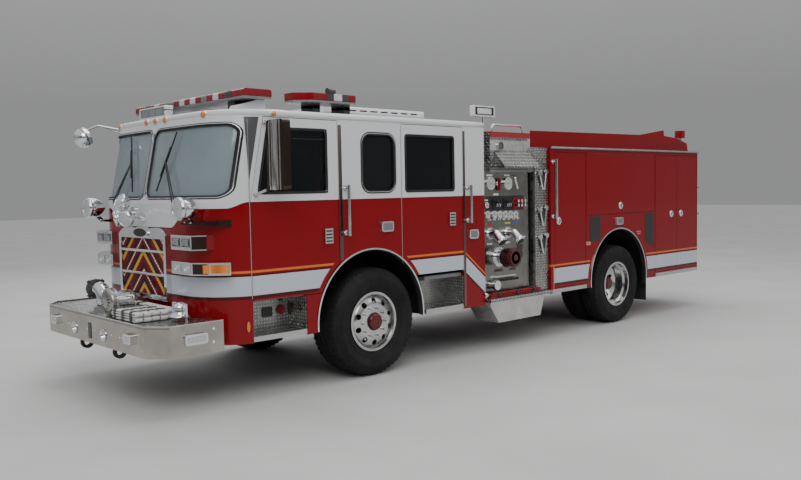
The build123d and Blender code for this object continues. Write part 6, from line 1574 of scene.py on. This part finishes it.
def mirror_glass():
    """Glass panes on the back of the door mirrors, ribs on their front, and the look-down mirror's face."""
    for side, name in SIDES:
        piece = Piece("mirror_glass_" + name, "chrome_trim", "door_front_" + name)
        back, front, y = ahead(1.270), ahead(1.350), side * MIRROR_Y
        for z in ((1.915, 2.120), (2.140, 2.465)):
            pane = rounded(*about(y, 0.105), *z, 0.018, 4)
            piece.prism(offset_loop(pane, 0.006), (back - 0.0015, back + 0.001), "X", BLACK_PAINT)
            piece.prism(pane, (back - 0.0035, back - 0.001), "X", MIRROR_GLASS)
        for dy in (-0.078, -0.040, 0.040, 0.078):
            turns = [math.radians(a) for a in range(-90, 91, 18)]
            rib = [(front + 0.006 * math.cos(a), y + dy + 0.009 * math.sin(a)) for a in turns]
            plan = [(front - 0.001, y + dy - 0.009), *rib, (front - 0.001, y + dy + 0.009)]
            piece.prism(plan, (1.915, 2.460), "Z", MIRROR_STEEL)
        piece.done()
    face = Piece("look_down_mirror", "chrome_trim")
    turn = math.radians(25)
    axis, centre = (-math.cos(turn), 0, math.sin(turn)), at(1.969, -1.056, 2.459)
    rim = [(0.099, 0.004), (0.104, 0.000), (0.104, -0.010), (0.098, -0.012)]
    face.lathe(rim, centre, axis, BLACK_PAINT, 40)
    face.lathe([(TIP, 0.010), (0.05, 0.0078), (0.099, 0.0)], centre, axis, MIRROR_GLASS, 40)
    face.done()


SEAT_SIZE = (0.500, 0.470, 0.112)
BACK_SIZE = (0.108, 0.450, 0.750)
# Sewn channels of each cushion: axis across the channel, place, half width, depth
SEAT_SEAMS = ((1, -0.14, 0.016, 0.007), (1, 0.14, 0.016, 0.007), (0, 0.10, 0.016, 0.006))
BACK_SEAMS = (
    (1, -0.13, 0.016, 0.007), (1, 0.13, 0.016, 0.007), (2, 0.12, 0.016, 0.006), (2, -0.10, 0.016, 0.006),
)
CUSHION_CROWN = 0.010
CLOTH_VOXEL = 0.018
CLOTH_PRESSURE = 4.0
CLOTH_STEPS = 20


def padded_block(size, seams, name):
    """Cushion shape: a box with rounded edges, inflated as cloth."""
    mesh = bpy.data.meshes.new(name)
    form = bmesh.new()
    bmesh.ops.create_cube(form, size=1.0)
    bmesh.ops.scale(form, vec=size, verts=form.verts[:])
    bmesh.ops.subdivide_edges(form, edges=form.edges[:], cuts=7, use_grid_fill=True)
    half = [s / 2 for s in size]
    for v in form.verts:
        out = [v.co[i] / half[i] for i in range(3)]
        far = max(0.0, sum(abs(o) ** 6 for o in out) ** (1 / 6))
        v.co = Vector(half[i] * out[i] / max(1.0, far) for i in range(3))
    form.to_mesh(mesh)
    form.free()
    piece = link(name, mesh)
    inflate(piece)
    for v in piece.data.vertices:
        for axis, place, width, depth in seams:
            gap = abs(v.co[axis] - place)
            if gap < width:
                pull = depth * (1 - gap / width) ** 1.5
                for i in range(3):
                    if i != axis and abs(v.co[i]) > 0.6 * half[i]:
                        v.co[i] -= math.copysign(pull, v.co[i])
    for face in piece.data.polygons:
        face.use_smooth = True
    return piece


def inflate(piece):
    """Evens out the mesh and fills it as cloth under pressure, with each point's move capped."""
    start = piece.modifiers.new("even", "REMESH")
    start.mode = "VOXEL"
    start.voxel_size = CLOTH_VOXEL
    apply_modifiers(piece)
    rest = [v.co.copy() for v in piece.data.vertices]
    cloth = piece.modifiers.new("fill", "CLOTH")
    cloth.settings.quality = 5
    cloth.settings.use_pressure = True
    cloth.settings.uniform_pressure_force = CLOTH_PRESSURE
    cloth.settings.effector_weights.gravity = 0.0
    cloth.settings.shrink_min = -0.02
    for number in range(1, CLOTH_STEPS + 1):
        bpy.context.scene.frame_set(number)
    apply_modifiers(piece)
    for v, old in zip(piece.data.vertices, rest):
        step = v.co - old
        if step.length > CUSHION_CROWN:
            v.co = old + step.normalized() * CUSHION_CROWN
    bpy.context.scene.frame_set(1)


def apply_modifiers(piece):
    """Writes the evaluated shape into the piece's own mesh."""
    depsgraph = bpy.context.evaluated_depsgraph_get()
    shape = bpy.data.meshes.new_from_object(piece.evaluated_get(depsgraph))
    piece.modifiers.clear()
    piece.data = shape


# Seats: X of the back rest, Y, height of the cushion, facing
SEAT_PLACES = [
    (ahead(x), side * y, top, facing)
    for x, y, top, facing in ((0.440, 0.760, 1.430, 1), (-0.150, 0.760, 1.485, -1), (-1.556, 0.480, 1.380, 1))
    for side in (1, -1)
]


def cushions():
    """Padded seats and back rests in place of the plain ones, on dark pedestals, with their belts."""
    seat = padded_block(SEAT_SIZE, SEAT_SEAMS, "seat_form")
    back = padded_block(BACK_SIZE, BACK_SEAMS, "back_form")
    for index, (x, y, top, facing) in enumerate(SEAT_PLACES):
        for form, before, z, label in (
            (seat, 0.275, top - 0.062, "seat_pad"), (back, 0.045, top + 0.392, "seat_back"),
        ):
            data = form.data.copy()
            for v in data.vertices:
                v.co = Vector((v.co.x * facing + (x + facing * before), v.co.y * facing + y, v.co.z + z))
            data.materials.clear()
            data.materials.append(SEAT_CLOTH)
            pad = link(f"{label}_{index}", data)
            smooth = pad.modifiers.new("smooth", "SUBSURF")
            smooth.levels = smooth.render_levels = 1
            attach(pad, "vehicle")
            if index == 0:
                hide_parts("seats")
    for form in (seat, back):
        bpy.data.objects.remove(form)
    base = Piece("seat_pedestals", "grey_trim")
    for x, y, top, facing in SEAT_PLACES:
        low, high = sorted((x + facing * 0.03, x + facing * 0.51))
        base.box((low, high), about(y, 0.20), (0.94 if low < 1.2 else 1.36, top - 0.126), GREY_TRIM)
        base.box(about(x, 0.005), about(y, 0.19), (top - 0.125, top + 0.02), GREY_TRIM)
    base.done(0.012)
    belts = Piece("seat_belts", "seat_fabric")
    for side in (1, -1):
        for x0, x1, material in ((0.500, 0.640, STRAP_ORANGE), (-0.190, -0.280, STRAP_BLACK)):
            top, low, across = at(x0, side * 1.090, 2.380), at(x1, side * 1.020, 1.560), Vector((0.024, 0, 0))
            outline = (top - across, top + across, low + across, low - across)
            rows = [[p + Vector((0, depth, 0)) for p in outline] for depth in (-0.0015, 0.0015)]
            belts.skin(rows, material, ends=True)
    belts.done()


# Locker latches: locker, X from the front axle, Z
LATCHES = (
    ("front", -2.985, 1.441), ("middle", -4.374, 1.594), ("rear_fore", -5.720, 1.437),
    ("rear_aft", -6.000, 1.437),
)
LATCH_RING = (
    (0.0232, 0.0004), (0.0232, 0.0070), (0.0250, 0.0079), (0.0330, 0.0079), (0.0348, 0.0070),
    (0.0355, 0.0015), (0.0470, 0.0012), (0.0490, -0.0020), (0.0490, -0.0079),
)


def body_details():
    """Dark fender panels, marker lamps, rub rails with their bolts and latches of the body."""
    panels = Piece("fender_panels", "grey_trim")
    for x0, x1, low, front_low in ((-3.892, -3.655, 1.147, 1.147), (-5.224, -4.996, 0.979, 1.079)):
        outline = [(ahead(x), z) for x, z in ((x0, 1.465), (x1, 1.465), (x1, front_low), (x0, low))]
        panels.prism(outline, (BODY_Y - 0.001, BODY_Y + 0.003), "Y", BLACK_PAINT)
    panels.mirror().done(0.0008)

    markers = Piece("body_markers", "lamp_red")
    for x, z, lens_finish in ((-3.615, 1.124, AMBER_LENS), (-4.831, 1.206, RED_LENS)):
        for half, height, radius, low, high, material in (
            (0.050, 0.022, 0.018, -0.001, 0.005, CHROME), (0.042, 0.016, 0.014, 0.004, 0.014, lens_finish),
        ):
            outline = rounded(*near(x, half), *about(z, height), radius)
            markers.prism(outline, (BODY_Y + low, BODY_Y + high), "Y", material)
    markers.mirror().done(0.001)

    strip = Piece("body_rub_rails", "steel_panel")
    for x0, x1 in ((-3.560, -2.830), (-6.490, -5.270)):
        strip.box((ahead(x0), ahead(x1)), (BODY_Y, BODY_Y + 0.012), (0.552, 0.600), STEEL)
    for x in (-2.860, -3.100, -3.340, -5.500, -5.800, -6.100, -6.400):
        strip.lathe([(0.008, 0), (0.008, 0.002), (TIP, 0.005)], at(x, BODY_Y + 0.012, 0.576), OUT, CHROME, 10)
    strip.mirror().done(0.002)

    for side, label in SIDES:
        for name, x, z in LATCHES:
            latch = Piece(f"latch_{name}_{label}", "chrome_trim", f"locker_{name}_{label}")
            turned = (at(x, side * (BODY_Y + 0.008), z), (0, side, 0))
            latch.lathe(LATCH_RING, *turned, CHROME, 36)
            latch.lathe([(TIP, 0.0006), (0.0228, 0.0006)], *turned, BLACK_PAINT, 32)
            latch.lathe([(TIP, 0.006), (0.008, 0.006), (0.009, 0.001)], *turned, CHROME, 20)
            latch.done()


def step_details():
    """Red hose strapped on the running boards, sockets in the front step wells and bright step edges."""
    hose = Piece("board_hose", "cover_vinyl")
    straps = Piece("board_straps", "seat_fabric")
    for layer, z in enumerate((0.6155, 0.634, 0.6525)):
        x0, x1, route = ahead(-2.585), ahead(-1.680 - 0.02 * layer), []
        for i in range(25):
            y = 1.222 + 0.0025 * math.sin(0.9 * i + layer)
            route.append(Vector((x0 + (x1 - x0) * i / 24, y, z + 0.001 * math.sin(1.3 * i))))
        hose.flat_hose(route, 0.092, 0.0185, HOSE_RED, along_x=True)
    outline = rounded(1.172, 1.272, 0.6065, 0.664, 0.014, 3)
    for x in (-2.470, -2.150, -1.830):
        back, front = near(x, 0.02)
        grown = offset_loop(outline, 0.0025)
        rows = [[(edge, y, z) for y, z in loop]
                for edge, loop in ((back, grown), (front, grown), (front, outline), (back, outline))]
        straps.skin(rows, STRAP_BLACK, ring=True)
    coupling = [
        (TIP, 0.0), (0.024, 0.0), (0.030, 0.006), (0.030, 0.050), (0.034, 0.056), (0.034, 0.085),
        (0.026, 0.090), (TIP, 0.090),
    ]
    hose.lathe(coupling, at(-1.700, 1.222, 0.645), (1, 0, 0), CHROME, 28)
    hose.mirror().done()
    straps.mirror().done(0.0005)

    sockets = Piece("step_sockets", "grey_trim")
    back = 0.960
    for x, z, half, height, radius, steps, out, material in (
        (1.138, 0.755, 0.056, 0.046, 0.008, 3, 0.010, BLACK_PAINT),
        (0.852, 0.765, 0.050, 0.058, 0.008, 3, 0.010, BRONZE),
        (0.990, 0.859, 0.020, 0.013, 0.004, 2, 0.014, BLACK_PAINT),
    ):
        outline = rounded(*near(x, half), *about(z, height), radius, steps)
        sockets.prism(outline, (back - 0.001, back + out), "Y", material)
    cup = [(0.046, 0), (0.046, 0.012), (0.038, 0.016), (0.034, 0.010), (TIP, 0.010)]
    sockets.lathe(cup, at(0.990, back, 0.762), OUT, HOSE_RED, 32)
    for x0, x1 in ((0.868, 1.450), (-1.270, -0.690)):
        sockets.box((ahead(x0), ahead(x1)), (1.2135, 1.2165), (0.546, 0.591), STEEL)
    sockets.mirror().done(0.0015)


REAR_FACE_X = -4.322


def rear_details():
    """Bezels and lenses of the tail lamps, reflectors and the blank plate."""
    piece = Piece("tail_lamp_bezels", "chrome_trim")
    for z, material in ((0.900, CLEAR_LENS), (1.050, AMBER_LENS), (1.200, RED_LENS)):
        turned = ((REAR_FACE_X - 0.030, 0.900, z), (-1, 0, 0))
        piece.lathe([(0.050, 0.001), (0.054, 0.006), (0.062, 0.005), (0.0635, -0.006)], *turned, CHROME, 36)
        piece.lathe([(TIP, 0.007), (0.02, 0.0065), (0.040, 0.004), (0.051, 0.001)], *turned, material, 36)
    face = (REAR_FACE_X - 0.006, REAR_FACE_X + 0.001)
    piece.prism(rounded(1.020, 1.180, 0.760, 0.800, 0.008, 3), face, "X", RED_LENS)
    piece.mirror().done()

    plate = Piece("rear_plate_blank", "steel_panel")
    plate.prism(rounded(-0.170, 0.170, 0.700, 0.790, 0.006, 3), face, "X", LABEL_WHITE)
    for y in (-0.155, 0.155):
        plate.lathe([(0.006, 0), (0.006, 0.002), (TIP, 0.004)], (face[0], y, 0.745), (-1, 0, 0), CHROME, 10)
    plate.done(0.001)


def cab_gap():
    """Dark conduits in the gap between cab and pump house."""
    piece = Piece("cab_gap_conduits", "rubber_black")
    for side in (1, -1):
        for x, y, r in ((-1.660, 1.02, 0.018), (-1.668, 0.94, 0.022), (-1.655, 0.84, 0.015)):
            route = []
            for k in range(11):
                sway, bow = 0.004 * math.sin(5.0 * k), 0.006 * math.cos(4.0 * k)
                route.append(at(x + sway, side * (y + bow), 0.95 + 0.105 * k))
            piece.tube(route, r, RUBBER)
    piece.done()


def cab_inside():
    """Gauges and switches on the dash."""
    piece = Piece("dash_details", "grey_trim")
    for y, z, r, material in (
        (0.74, 1.675, 0.050, CHROME), (0.54, 1.675, 0.050, CHROME), (0.64, 1.640, 0.032, BLACK_PAINT),
        (0.40, 1.640, 0.030, BLACK_PAINT), (0.32, 1.640, 0.030, BLACK_PAINT),
    ):
        profile = [(r, -0.003), (r + 0.004, 0.006), (r, 0.008), (r - 0.004, 0.002), (TIP, 0.002)]
        piece.lathe(profile, at(1.478, y, z), (-1, 0, 0), material, 28)
    for row in range(3):
        for column in range(6):
            material = BLACK_PAINT if (row + column) % 3 else LABEL_RED
            y, z = 0.20 - column * 0.075, 1.690 - row * 0.06
            piece.box((ahead(1.470), ahead(1.479)), about(y, 0.012), about(z, 0.018), material)
    piece.done(0.0008)


place_camera()
studio()
dress_nodes()
for build in (
    windscreen, side_windows, tyres, arch_linings, grille_insert, headlamps, spot_lamps, roof_shell,
    roof_mounts, roof_lamps, bumper_details, folded_hose, gauges, panel_labels, panel_levers, panel_caps,
    mirror_glass, cushions, body_details, step_details, rear_details, cab_gap, cab_inside,
):
    build()
